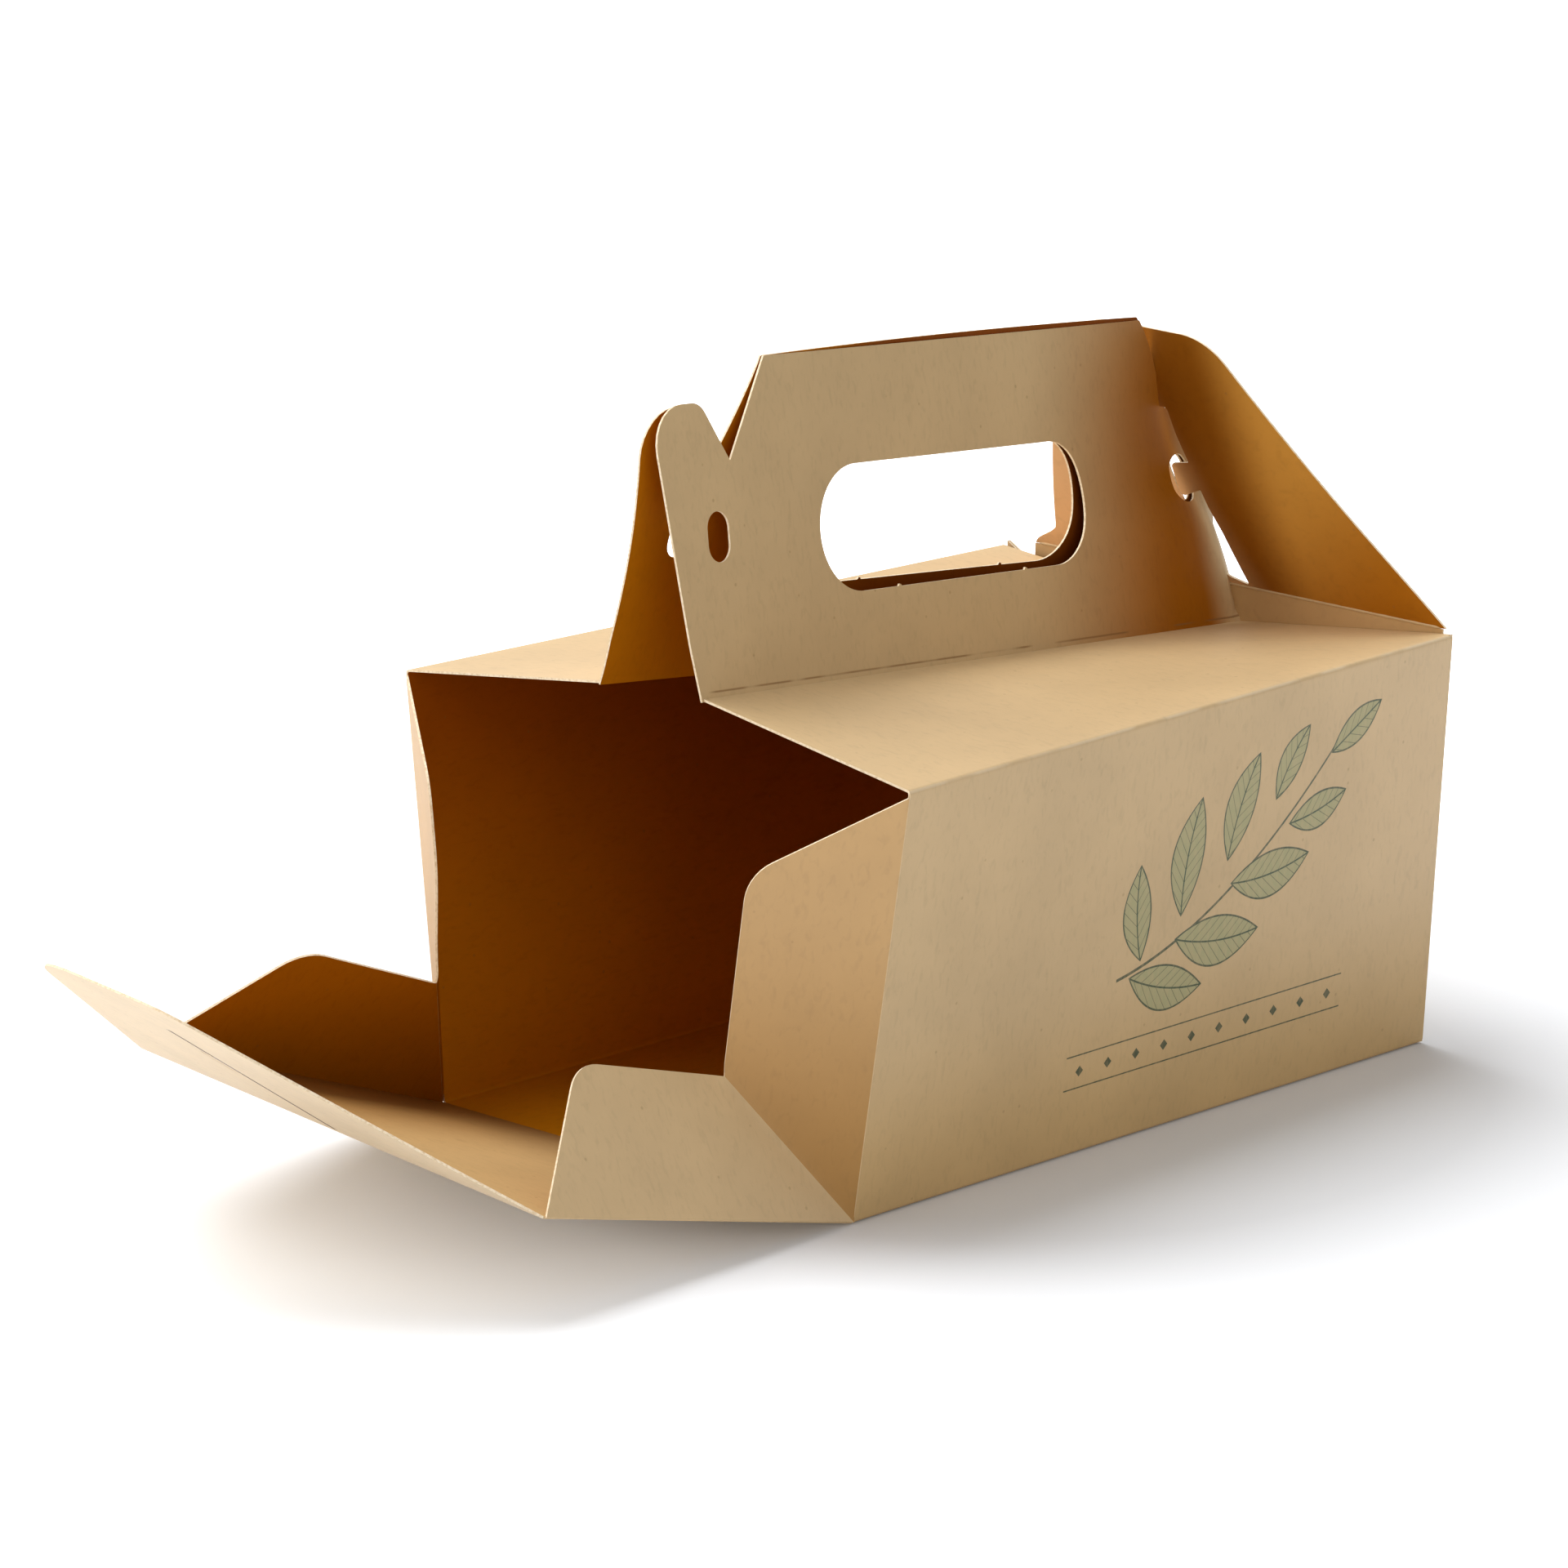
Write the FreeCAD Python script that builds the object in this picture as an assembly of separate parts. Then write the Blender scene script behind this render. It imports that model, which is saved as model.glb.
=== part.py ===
import FreeCAD, Part
import os
from math import sin, cos, asin, atan2, radians, sqrt, hypot, pi

V = FreeCAD.Vector

# Handled cake box, die-cut from one sheet of kraft board and folded, sizes in millimetres.
# Origin: middle of the base, on its underside. X runs along the box, +X to the locked end,
# Y across it, Z up. The open end is at -X.

# --- board and blank ---------------------------------------------------------------
card = 0.5                 # thickness of the board
length = 190.0             # base, open end fold to locked end fold
width = 118.0              # base, side fold to side fold
height = 94.0              # side walls and end panels, fold to fold
lid_slack = 1.0            # each top half is this much wider than half the base
handle_high = 69.0         # handle panel, fold to top edge
handle_top_in = 29.0       # top corner of the handle, from the end of its fold
notch_in = 15.0            # notch between ear and handle, from the end of the fold
notch_up = 46.8            # notch, above the fold
ear_radius = 9.0           # round head of the ear
ear_in = 0.4               # centre of the head, from the end of the fold
ear_up = 50.6              # centre of the head, above the fold
grip_long = 96.0           # hand hole, end to end
grip_high = 26.6           # hand hole, top to bottom
grip_up = 30.5             # middle of the hand hole, above the fold
eye_wide = 7.2             # locking hole in each ear
eye_high = 10.4
eye_in = 9.5               # its centre, from the end of the fold
eye_up = 32.0
flap_long = 66.0           # locking flap, fold to free edge
flap_tip = 40.0            # its free edge, corner to corner before rounding
flap_off = 14.0            # the free edge is set this far to the back of the middle
flap_round = 15.0          # its front corner
flap_round_back = 22.0     # its back corner
slit_start = 2.0           # slit in the locking flap, from the fold
slit_end = 44.5
slit_foot = -1.8           # the slit slants: its foot, from the middle of the fold
slit_head = 10.9           # and its far end
slit_cut = 0.5             # width of the cut line
tab_from = 25.8            # locking tongue beside the slit, from the fold
tab_to = 33.2
tab_deep = 3.4             # how far the tongue crosses the slit
gusset_wide = 32.0         # gusset, side fold to free edge
gusset_run = 77.5          # along the fold to where the slanted end meets the free edge
gusset_round = 10.0        # rounded corner there
gusset_clear = 0.8         # its top corner stops this far short of the fold above

# --- how the box stands ------------------------------------------------------------
near_splay = 8.8           # open end: side walls lean out by this, degrees
near_gable = 9.6           # open end: top halves rise to the handle, degrees
far_sag = 6.5              # locked end: top halves sink to the handle, degrees
end_lean = 1.2             # locked end panel leans out, degrees
crest_near = -1.5          # open end: handle's top edge, from the middle of the box
crest_far = 12.5           # locked end: the same; the handle leans to the back
open_front = 13.1          # open end panel, above the level at its front corner, degrees
open_back = 19.1           # and at its back corner, degrees: the panel is sprung into a slight twist
flap_bend = 18.7           # its locking flap, folded in from the panel's plane, degrees

# --- clearances --------------------------------------------------------------------
over_top = 1.0             # cutting outline runs this far past the handle's top edge
handle_gap = 0.2           # between the two handle panels where they touch
ply_gap = 0.1              # between plies folded onto one another
fold_gap = 0.35            # a moving panel starts this far from its fold line
diag_gap = 1.0             # each half of an open gusset starts this far from its diagonal fold
apex_gap = 8.0             # relief at the corner where the gusset folds meet
slot_play = 0.35           # each side of the ears in the opened slit
bead_over = 0.05           # a folded crease stands this much proud of the board, as a share
bead_end = 0.4             # a crease stops this short of a corner
web_slip = 0.3             # the outer ply of a folded gusset slips this far in
diag_start = 1.2           # its diagonal crease starts this far from the foot
flap_rest = 0.2            # between the locking flap's bow and the handle's ears
slot_flare = 0.5           # the tongue bends this far out of the opened slit
ear_foot_in = 0.5          # foot of the ear, from the end of the fold
ear_foot_down = 0.6        # and below the fold, sunk into it

half_card = card / 2
ply = card + ply_gap
lid_half = width / 2 + lid_slack
handle_y = (card + handle_gap) / 2
near_x, far_x, side_y = -length / 2, length / 2, width / 2


def lean(deg):
    return sin(radians(deg)), cos(radians(deg))


def unit(v):
    return v * (1.0 / v.Length)


def to_frame(shape, origin, ex, ey):
    """Carry a shape from its flat XY drawing to the panel's place."""
    ez = ex.cross(ey)
    m = FreeCAD.Matrix(ex.x, ey.x, ez.x, origin.x,
                       ex.y, ey.y, ez.y, origin.y,
                       ex.z, ey.z, ez.z, origin.z, 0, 0, 0, 1)
    return shape.transformed(m, True)


def rounded(points):
    """Closed outline from (x, y, radius) corners, each corner rounded by its radius."""
    n, ends, edges = len(points), [], []
    for i in range(n):
        p = V(points[i][0], points[i][1], 0)
        a = V(points[i - 1][0], points[i - 1][1], 0) - p
        b = V(points[(i + 1) % n][0], points[(i + 1) % n][1], 0) - p
        r = points[i][2]
        if r <= 0:
            ends.append((p, None, p))
            continue
        a, b = unit(a), unit(b)
        half = a.getAngle(b) / 2
        run = r / (sin(half) / cos(half))
        mid = unit(a + b)
        centre = p + mid * (r / sin(half))
        ends.append((p + a * run, centre - mid * r, p + b * run))
    for i in range(n):
        start, middle, stop = ends[i]
        if middle is not None:
            edges.append(Part.Arc(start, middle, stop).toShape())
        edges.append(Part.makeLine(stop, ends[(i + 1) % n][0]))
    return Part.Wire(edges)


def slab(points, thick, lift=0.0):
    """Flat board of the given outline, its middle plane at z = lift."""
    face = Part.Face(rounded(points))
    face.translate(V(0, 0, lift - thick / 2))
    return face.extrude(V(0, 0, thick))


def ruled_panel(a0, b0, a1, b1):
    """Board between edge a0-b0 at one end and edge a1-b1 at the other, free to twist."""
    rings = []
    for a, b, along in ((a0, b0, a1 - a0), (a1, b1, a1 - a0)):
        n = unit((b - a).cross(along)) * half_card
        rings.append(Part.makePolygon([a + n, b + n, b - n, a - n, a + n]))
    return Part.makeLoft(rings, True, True)


def crease(a, b, radius=None):
    """Rounded fold line joining two panels."""
    r = (half_card if radius is None else radius) * (1 + bead_over)
    return Part.makeCylinder(r, (b - a).Length, a, b - a)


def at(a, b, x):
    """Point on the line a-b at the given X."""
    return a + (b - a) * ((x - a.x) / (b.x - a.x))


# --- fold points, on the middle of the board ---------------------------------------
s_near, c_near = lean(near_splay)
s_gab, c_gab = lean(near_gable)
s_sag, c_sag = lean(far_sag)
s_end, c_end = lean(end_lean)
base_z = half_card


def side(points, sign):
    return [V(p.x, p.y * sign, p.z) for p in points]


foot_n = V(near_x, -side_y, base_z)
foot_f = V(far_x, -side_y, base_z)
top_n = V(near_x, -side_y - height * s_near, base_z + height * c_near)
top_f_y = -(handle_y + lid_half * c_sag)
top_f = V(far_x, top_f_y, base_z + sqrt(height ** 2 - (-top_f_y - side_y) ** 2))
hinge_n = V(near_x, top_n.y + lid_half * c_gab, top_n.z + lid_half * s_gab)
hinge_f = V(far_x, -handle_y, top_f.z - lid_half * s_sag)
fold_long = (hinge_f - hinge_n).Length


def handle_corners(sign):
    """Ends of a handle panel's fold and of its top edge; sign 1 is the front panel."""
    corners = side([hinge_n, hinge_f], sign)
    for fold, middle in ((corners[0], crest_near), (corners[1], crest_far)):
        y = middle - sign * handle_y
        corners.append(V(fold.x, y, fold.z + sqrt(handle_high ** 2 - (fold.y - y) ** 2)))
    return corners


def handle_frame(sign):
    """Drawing frame of a handle panel: u along its fold, v up the panel's mean plane."""
    h0, h1, t0, t1 = handle_corners(sign)
    u_dir = unit(h1 - h0)
    rise = t0 + t1 - h0 - h1
    return h0, u_dir, unit(rise - u_dir * rise.dot(u_dir))


def on_handle(u, v):
    """Point of the front panel, moved straight back into the middle plane."""
    o, u_dir, v_dir = handle_frame(1)
    p = o + u_dir * u + v_dir * v
    return V(p.x, 0, p.z)


def handle_at(sign, x, z):
    """Y of a handle panel at the given X and height."""
    h0, h1, t0, t1 = handle_corners(sign)
    low, high = at(h0, h1, x), at(t0, t1, x)
    return low.y + (high.y - low.y) * (z - low.z) / (high.z - low.z)


def touch(point, centre, radius, side_sign):
    """Where a line from the point touches the circle, on the chosen side."""
    dx, dy = point[0] - centre[0], point[1] - centre[1]
    turn = atan2(dy, dx) + side_sign * (pi / 2 - asin(radius / hypot(dx, dy)))
    return centre[0] + radius * cos(turn), centre[1] + radius * sin(turn)


def handle_outline():
    """Outline with an ear at each end; the ears stand out past the fold."""
    head, foot, notch = (ear_in, ear_up), (ear_foot_in, -ear_foot_down), (notch_in, notch_up)
    left = touch(foot, head, ear_radius, -1)
    right = touch(notch, head, ear_radius, 1)
    crown = (head[0], head[1] + ear_radius)
    corner = (handle_top_in, handle_high + over_top)
    near = [foot, left, crown, right, notch, corner]
    far = [(fold_long - u, v) for u, v in near]
    edges = []
    for ring in (near, far):
        p = [V(u, v, 0) for u, v in ring]
        edges += [Part.makeLine(p[0], p[1]), Part.Arc(p[1], p[2], p[3]).toShape(),
                  Part.makeLine(p[3], p[4]), Part.makeLine(p[4], p[5])]
    edges.append(Part.makeLine(V(corner[0], corner[1], 0), V(fold_long - corner[0], corner[1], 0)))
    edges.append(Part.makeLine(V(foot[0], foot[1], 0), V(fold_long - foot[0], foot[1], 0)))
    return Part.Wire(Part.__sortEdges__(edges))


def pill(u, v, long_u, long_v):
    r = min(long_u, long_v) / 2 * 0.999
    x0, x1, y0, y1 = u - long_u / 2, u + long_u / 2, v - long_v / 2, v + long_v / 2
    return rounded([(x0, y0, r), (x1, y0, r), (x1, y1, r), (x0, y1, r)])


def handle_cutter(sign):
    """Outline less its holes, as a prism square to the panel's mean plane."""
    body = Part.Face(handle_outline()).extrude(V(0, 0, width))
    holes = [pill(fold_long / 2, grip_up, grip_long, grip_high),
             pill(eye_in, eye_up, eye_wide, eye_high),
             pill(fold_long - eye_in, eye_up, eye_wide, eye_high)]
    for w in holes:
        body = body.cut(Part.Face(w).extrude(V(0, 0, width)))
    o, u_dir, v_dir = handle_frame(sign)
    return to_frame(body, o - u_dir.cross(v_dir) * (width / 2), u_dir, v_dir)


def handle_panel(sign):
    """Handle board: the two lean together at the open end and to the back at the locked end."""
    over = 2 * ear_radius
    h0, h1, t0, t1 = handle_corners(sign)
    x0, x1 = near_x - over, far_x + over
    board = ruled_panel(at(h0, h1, x0), at(t0, t1, x0), at(h0, h1, x1), at(t0, t1, x1))
    return board.common(handle_cutter(sign))


# --- gusset outline: u along the side fold, v across the web ------------------------
def gusset(sector, cut_fold, cut_diag, cut_apex):
    """Half gusset between its side fold (v = 0) and the diagonal at the sector angle."""
    s, c = lean(sector)
    tip_u = gusset_wide * c / s
    outline = [(0, 0, 0), (height - gusset_clear, 0, 0), (gusset_run, gusset_wide, gusset_round),
               (tip_u, gusset_wide, 0)]
    web = Part.Face(rounded(outline))
    big = 3 * height
    keep = Part.makePolygon([V(-big, cut_fold, 0), V(big, cut_fold, 0), V(big, big, 0),
                             V(-big, big, 0), V(-big, cut_fold, 0)])
    web = web.common(Part.Face(keep))
    p = V(s, -c, 0) * cut_diag
    d = V(c, s, 0) * big
    n = V(s, -c, 0) * big
    keep = Part.makePolygon([p - d, p + d, p + d + n, p - d + n, p - d])
    web = web.common(Part.Face(keep))
    solid = web.extrude(V(0, 0, card))
    solid.translate(V(0, 0, -half_card))
    if cut_apex > 0:
        solid = solid.cut(Part.makeCylinder(cut_apex, 4 * card, V(0, 0, -2 * card)))
    return solid


# --- locking flap outline: u across the box, v from the fold -------------------------
def flap_outline(start):
    """Corners of the flap, from the given distance up."""
    half = width / 2
    tip_front, tip_back = flap_off - flap_tip / 2, flap_off + flap_tip / 2
    share = start / flap_long
    return [(-half + (half + tip_front) * share, start, 0), (half - (half - tip_back) * share, start, 0),
            (tip_back, flap_long, flap_round_back), (tip_front, flap_long, flap_round)]


def slit_cuts():
    """Slanting slit that steps round the locking tongue, as thin upright prisms."""
    half = slit_cut / 2
    runs = [(-half, slit_start, half, tab_from), (-half, tab_from - slit_cut, tab_deep, tab_from),
            (tab_deep - slit_cut, tab_from - slit_cut, tab_deep, tab_to + slit_cut),
            (-half, tab_to, tab_deep, tab_to + slit_cut), (-half, tab_to, half, slit_end)]
    cuts = []
    for x0, s0, x1, s1 in runs:
        low, high = [slit_foot + (slit_head - slit_foot) * s / slit_end for s in (s0, s1)]
        corners = [(low + x0, s0, 0), (low + x1, s0, 0), (high + x1, s1, 0), (high + x0, s1, 0)]
        cuts.append(slab(corners, 2 * card))
    return cuts


# --- locked end ---------------------------------------------------------------------
end_up = V(s_end, 0, c_end)
end_in = V(-c_end, 0, s_end)
lock_fold = V(far_x, 0, base_z) + end_up * height


def locked_end(sign):
    """One corner of the locked end: gusset folded flat in two plies behind the panel."""
    out = []
    y = V(0, -sign, 0)
    corner = V(far_x, side_y * sign, base_z)
    web = gusset(45.0, 0.0, 0.0, 0.0)
    for k in (1, 2):
        o = corner + end_in * (ply * k) + V(0, -sign * web_slip * (k - 1), 0)
        out.append(to_frame(web, o, end_up, y) if sign < 0 else
                   to_frame(web.mirror(V(0, 0, 0), V(0, 0, 1)), o, end_up, y))
    o = corner + end_in * (ply * 0.5)
    out.append(crease(o + end_up * bead_end, o + end_up * (height - gusset_clear), ply / 2 + half_card))
    o = corner + end_in * (ply * 1.5)
    diag = unit(end_up + y) * (gusset_wide * sqrt(2) - 2 * bead_end)
    start = o + unit(end_up + y) * diag_start
    out.append(crease(start, o + diag, ply / 2 + half_card))
    return out


def locked_flap():
    """Flap bowed in over the handle ends; the ears pass out through its opened slit."""
    reach = card + handle_gap + flap_rest
    notch = on_handle(fold_long - notch_in, notch_up) + V(reach, 0, reach)
    crest = on_handle(fold_long - handle_top_in, handle_high) + V(reach, 0, reach)
    bow = Part.Arc(lock_fold, notch, crest).toShape().Curve
    c = V(bow.Center.x, 0, bow.Center.z)
    r = bow.Radius
    a0 = atan2(lock_fold.z - c.z, lock_fold.x - c.x)
    a1 = atan2(notch.z - c.z, notch.x - c.x)
    turn = 1.0 if (a1 - a0) % (2 * pi) < pi else -1.0

    def arc(radius, f):
        a = a0 + turn * f * flap_long / r
        return c + V(cos(a), 0, sin(a)) * radius
    ends = [arc(r - half_card, 0), arc(r - half_card, 0.5), arc(r - half_card, 1)]
    outs = [arc(r + half_card, 0), arc(r + half_card, 0.5), arc(r + half_card, 1)]
    strip = Part.Wire([Part.Arc(*ends).toShape(), Part.makeLine(ends[2], outs[2]),
                       Part.Arc(*reversed(outs)).toShape(), Part.makeLine(outs[0], ends[0])])
    strip = Part.Face(strip).extrude(V(0, width, 0))
    strip.translate(V(0, -width / 2, 0))
    rise = unit(arc(r, 1) - lock_fold)

    def slot(s):
        """Both edges of the slit, opened by the ears, at a distance s along the flap."""
        p = arc(r, s / flap_long)
        v = (p - lock_fold).dot(rise)
        play = half_card + slot_play
        return (handle_at(1, p.x, p.z) - play, v), (handle_at(-1, p.x, p.z) + play, v)

    def between(start, stop, spread_front, spread_back):
        (a, va), (b, vb), (c, vc), (d, vd) = slot(start) + slot(stop)
        return slab([(a - spread_front, va, 0), (b + spread_back, vb, 0),
                     (d + spread_back, vd, 0), (c - spread_front, vc, 0)], 2 * flap_long)

    cutter = slab(flap_outline(-over_top), flap_long)
    opened = between(slit_start, slit_end, 0.0, 0.0)
    tongue = between(tab_from, tab_to, slot_flare, tab_deep)
    cutter = cutter.cut(opened.cut(tongue))
    return strip.common(to_frame(cutter, lock_fold, V(0, 1, 0), rise))


def carton():
    shapes = []
    x_open = near_x + fold_gap
    x_side = far_x - 2 * ply
    shapes.append(ruled_panel(V(x_open, -side_y, base_z), V(x_open, side_y, base_z),
                              V(far_x, -side_y, base_z), V(far_x, side_y, base_z)))
    for sign in (1, -1):
        fn, ff, tn, tf, hn, hf = side([foot_n, foot_f, top_n, top_f, hinge_n, hinge_f], sign)
        wall_top = at(tn, tf, x_side) + V(height * s_end, 0, 0)
        shapes.append(ruled_panel(at(fn, ff, x_open), at(tn, tf, x_open), at(fn, ff, x_side), wall_top))
        shapes.append(ruled_panel(tn, hn, tf, hf))
        shapes.append(handle_panel(sign))
        shapes.append(crease(at(fn, ff, x_open), at(fn, ff, x_side)))
        shapes.append(crease(at(tn, tf, x_open), tf))
        shapes.append(crease(hn + unit(hf - hn) * ear_foot_in, hf - unit(hf - hn) * ear_foot_in))
        shapes.append(crease(at(fn, ff, x_side), wall_top))
        shapes += locked_end(-sign)
    shapes.append(ruled_panel(foot_f, lock_fold + V(0, -side_y, 0), V(far_x, side_y, base_z),
                              lock_fold + V(0, side_y, 0)))
    shapes.append(crease(foot_f, V(far_x, side_y, base_z)))
    shapes.append(crease(lock_fold + V(0, bead_end - side_y, 0), lock_fold + V(0, side_y - bead_end, 0)))
    shapes.append(locked_flap())
    return shapes[0].multiFuse(shapes[1:])


# --- open end, standing as it springs open -------------------------------------------
def outward(deg):
    """Direction along the open end panel, at an angle above the level."""
    s, c = lean(deg)
    return V(-c, 0, s)


def inward(deg):
    """Square to it, to the inside of the box."""
    s, c = lean(deg)
    return V(s, 0, c)


panel_o = V(near_x, 0, base_z)
wall_edge = V(0, -s_near, c_near)
flap_front = foot_n + outward(open_front) * height
flap_back = V(near_x, side_y, base_z) + outward(open_back) * height
flap_o = (flap_front + flap_back) * 0.5
flap_fold = unit(flap_back - flap_front)
flap_out = outward((open_front + open_back) / 2 + flap_bend)
flap_out = unit(flap_out - flap_fold * flap_out.dot(flap_fold))


def gusset_fold(open_by):
    """Direction of the diagonal fold, at 45 degrees to the wall edge and the panel edge."""
    panel_edge = outward(open_by)
    middle = unit(wall_edge + panel_edge)
    inner = unit(panel_edge.cross(wall_edge))
    half = wall_edge.getAngle(panel_edge) / 2
    rise = cos(pi / 4) / cos(half)
    return middle * rise + inner * sqrt(1 - rise * rise)


def end_panel():
    edge = side_y - fold_gap
    ends = []
    for y, open_by in ((-edge, open_front), (edge, open_back)):
        foot = panel_o + V(0, y, 0)
        ends += [foot + outward(open_by) * fold_gap, foot + outward(open_by) * (height - fold_gap)]
    return ruled_panel(*ends)


def lock_flap():
    board = slab(flap_outline(fold_gap), card)
    for cut in slit_cuts():
        board = board.cut(cut)
    return to_frame(board, flap_o, flap_fold, flap_out)


def open_gusset(on_panel, open_by):
    """Half of the front corner's gusset: the wall's half or the end panel's half."""
    fold = gusset_fold(open_by)
    edge = outward(open_by) if on_panel else wall_edge
    origin = foot_n + (inward(open_by) * ply if on_panel else V(0, 0, 0))
    across = unit(fold - edge * fold.dot(edge))
    web = gusset(45.0, fold_gap, diag_gap, apex_gap)
    return to_frame(web, origin, edge, across)


def mirror_y(shape):
    return shape.mirror(V(0, 0, 0), V(0, 1, 0))


nodes = {"carton_body": carton(), "end_panel": end_panel(), "lock_flap": lock_flap()}
for name, on_panel in (("wall_gusset", False), ("end_gusset", True)):
    nodes[name + "_front"] = open_gusset(on_panel, open_front)
    nodes[name + "_back"] = mirror_y(open_gusset(on_panel, open_back))

if __name__ == "__main__":
    os.makedirs("parts", exist_ok=True)
    for name, shape in nodes.items():
        solids = shape.Solids
        print(name, "solids", len(solids), "valid", shape.isValid(), "volume", round(shape.Volume, 1),
              "box", [round(v, 1) for v in (shape.BoundBox.XMin, shape.BoundBox.XMax, shape.BoundBox.YMin,
                                            shape.BoundBox.YMax, shape.BoundBox.ZMin, shape.BoundBox.ZMax)])
        shape.exportStep("parts/" + name + ".step")
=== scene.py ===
import math
import bpy
import numpy as np
from mathutils import Matrix, Vector
from mathutils.geometry import delaunay_2d_cdt


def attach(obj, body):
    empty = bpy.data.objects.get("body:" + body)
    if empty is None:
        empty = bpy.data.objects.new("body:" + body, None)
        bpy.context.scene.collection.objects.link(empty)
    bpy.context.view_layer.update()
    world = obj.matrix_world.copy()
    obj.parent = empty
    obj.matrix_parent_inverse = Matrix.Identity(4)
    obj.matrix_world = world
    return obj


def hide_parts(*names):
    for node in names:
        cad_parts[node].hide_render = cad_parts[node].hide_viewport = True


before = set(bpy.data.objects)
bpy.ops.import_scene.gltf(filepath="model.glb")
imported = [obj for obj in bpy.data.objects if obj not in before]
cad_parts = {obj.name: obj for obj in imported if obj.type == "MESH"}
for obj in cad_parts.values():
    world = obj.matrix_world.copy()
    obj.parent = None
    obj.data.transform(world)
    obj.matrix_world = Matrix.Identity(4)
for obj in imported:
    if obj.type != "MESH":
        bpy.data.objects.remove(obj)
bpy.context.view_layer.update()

print("frame loaded")

# Sizes below are millimetres in the carton's own frame: origin in the middle of the base, X to the
# locked end, Y to the back wall, Z up. "near" is the open end, "far" the locked end.
mm = 0.001
board = dict(
    thick=0.5, foldRadius=0.8,
    grid=4.0, edgeStep=1.5,                       # mesh step inside a piece that curves, and along its rim
    flatGrid=5.0, flatStep=3.0,                   # the same for a piece that stays flat
    rimGap=0.45,    # share of the grid that is kept clear of a rim
    slopeStep=0.05, near=0.01)    # how far apart a slope is read; how near is on a line
blank = dict(length=190.0, width=118.0, wall=94.0)

# folds of the wrap, measured along it from the front ridge to the back ridge
half, wall, width = blank["width"] / 2, blank["wall"], blank["width"]
foldAt = np.cumsum([0.0, half, wall, width, wall, half])

# where the creases of the folded sheet meet, on the middle of the board
corner = dict(
    ridgeFrontNear=(-95.0, -15.0, 103.0), ridgeFrontFar=(96.5, -2.1, 86.2),
    topFrontNear=(-95.0, -72.2, 94.1), topFrontFar=(96.3, -62.0, 93.5),
    footFrontNear=(-95.0, -59.2, 0.25), footFrontFar=(95.0, -59.0, 0.25),
    footBackNear=(-95.0, 59.0, 0.25), footBackFar=(95.0, 59.0, 0.25),
    topBackNear=(-95.0, 71.2, 94.0), topBackFar=(93.5, 66.5, 93.0),
    ridgeBackNear=(-95.0, 13.8, 101.7), ridgeBackFar=(96.5, -0.9, 86.1))
corner = {k: np.array(v) for k, v in corner.items()}


def ease(t):                                      # 0 to 1 with level ends: 3t^2 - 2t^3
    t = np.clip(t, 0.0, 1.0)
    return t * t * (3.0 - 2.0 * t)


def mix(a, b, t):                                 # from point a to point b by t
    return np.asarray(a) + (np.asarray(b) - np.asarray(a)) * np.asarray(t)[..., None]


def stack(x, y, z):                               # points from their three coordinates
    return np.stack(np.broadcast_arrays(x, y, z), axis=-1).astype(float)


def unit(a):                                      # vectors divided by their length
    return a / np.linalg.norm(a, axis=-1, keepdims=True)


# smooth line through a few values, level at each end: between two of them a cubic that meets both
# values with the slope of their neighbours
def through(knots, values, t):
    knots, values = np.asarray(knots, float), np.asarray(values, float)
    slope = np.gradient(values, knots)
    slope[0] = slope[-1] = 0.0
    t = np.clip(t, knots[0], knots[-1])
    i = np.clip(np.searchsorted(knots, t, side="right") - 1, 0, len(knots) - 2)
    run = knots[i + 1] - knots[i]
    f = (t - knots[i]) / run
    return (values[i] * (1 + 2 * f) * (1 - f) ** 2 + slope[i] * run * f * (1 - f) ** 2
            + values[i + 1] * f * f * (3 - 2 * f) - slope[i + 1] * run * f * f * (1 - f))


# points along an outline, its corners kept, no two further apart than the step
def densify(loop, step):
    runs = []
    for a, b in zip(loop, np.roll(loop, -1, axis=0)):
        n = max(1, int(math.ceil(np.linalg.norm(b - a) / step)))
        runs.append(a + (b - a) * (np.arange(n) / n)[:, None])
    return np.concatenate(runs)


# even-odd rule: a point is inside when a ray to its right crosses the outline an odd number of times
def inside(points, loop):
    a, b = loop, np.roll(loop, -1, axis=0)
    px, py = points[:, 0:1], points[:, 1:2]
    crosses = (a[:, 1] > py) != (b[:, 1] > py)
    rise = np.where(b[:, 1] == a[:, 1], 1e-12, b[:, 1] - a[:, 1])
    at = a[:, 0] + (py - a[:, 1]) * (b[:, 0] - a[:, 0]) / rise
    return (crosses & (px < at)).sum(axis=1) % 2 == 1


# closed outline from (u, v, radius) corners: each corner becomes an arc tangent to both its sides
def roundCorners(points, pieces=8):
    p = np.array([q[:2] for q in points], float)
    out = []
    for i, r in enumerate(q[2] for q in points):
        here, back, ahead = p[i], unit(p[i - 1] - p[i]), unit(p[(i + 1) % len(p)] - p[i])
        if r <= 0:
            out.append(here[None])
            continue
        bend = math.acos(np.clip(back @ ahead, -1, 1)) / 2
        centre = here + unit(back + ahead) * (r / math.sin(bend))
        a = here + back * (r / math.tan(bend)) - centre
        b = here + ahead * (r / math.tan(bend)) - centre
        w = math.atan2(a[0] * b[1] - a[1] * b[0], a @ b) * np.linspace(0, 1, pieces)
        out.append(centre + np.stack([a[0] * np.cos(w) - a[1] * np.sin(w),
                                      a[0] * np.sin(w) + a[1] * np.cos(w)], axis=1))
    return np.concatenate(out)


def endRadius(wide, high):                        # just short of half, so that two arcs don't meet
    return min(wide, high) * 0.4999


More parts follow.
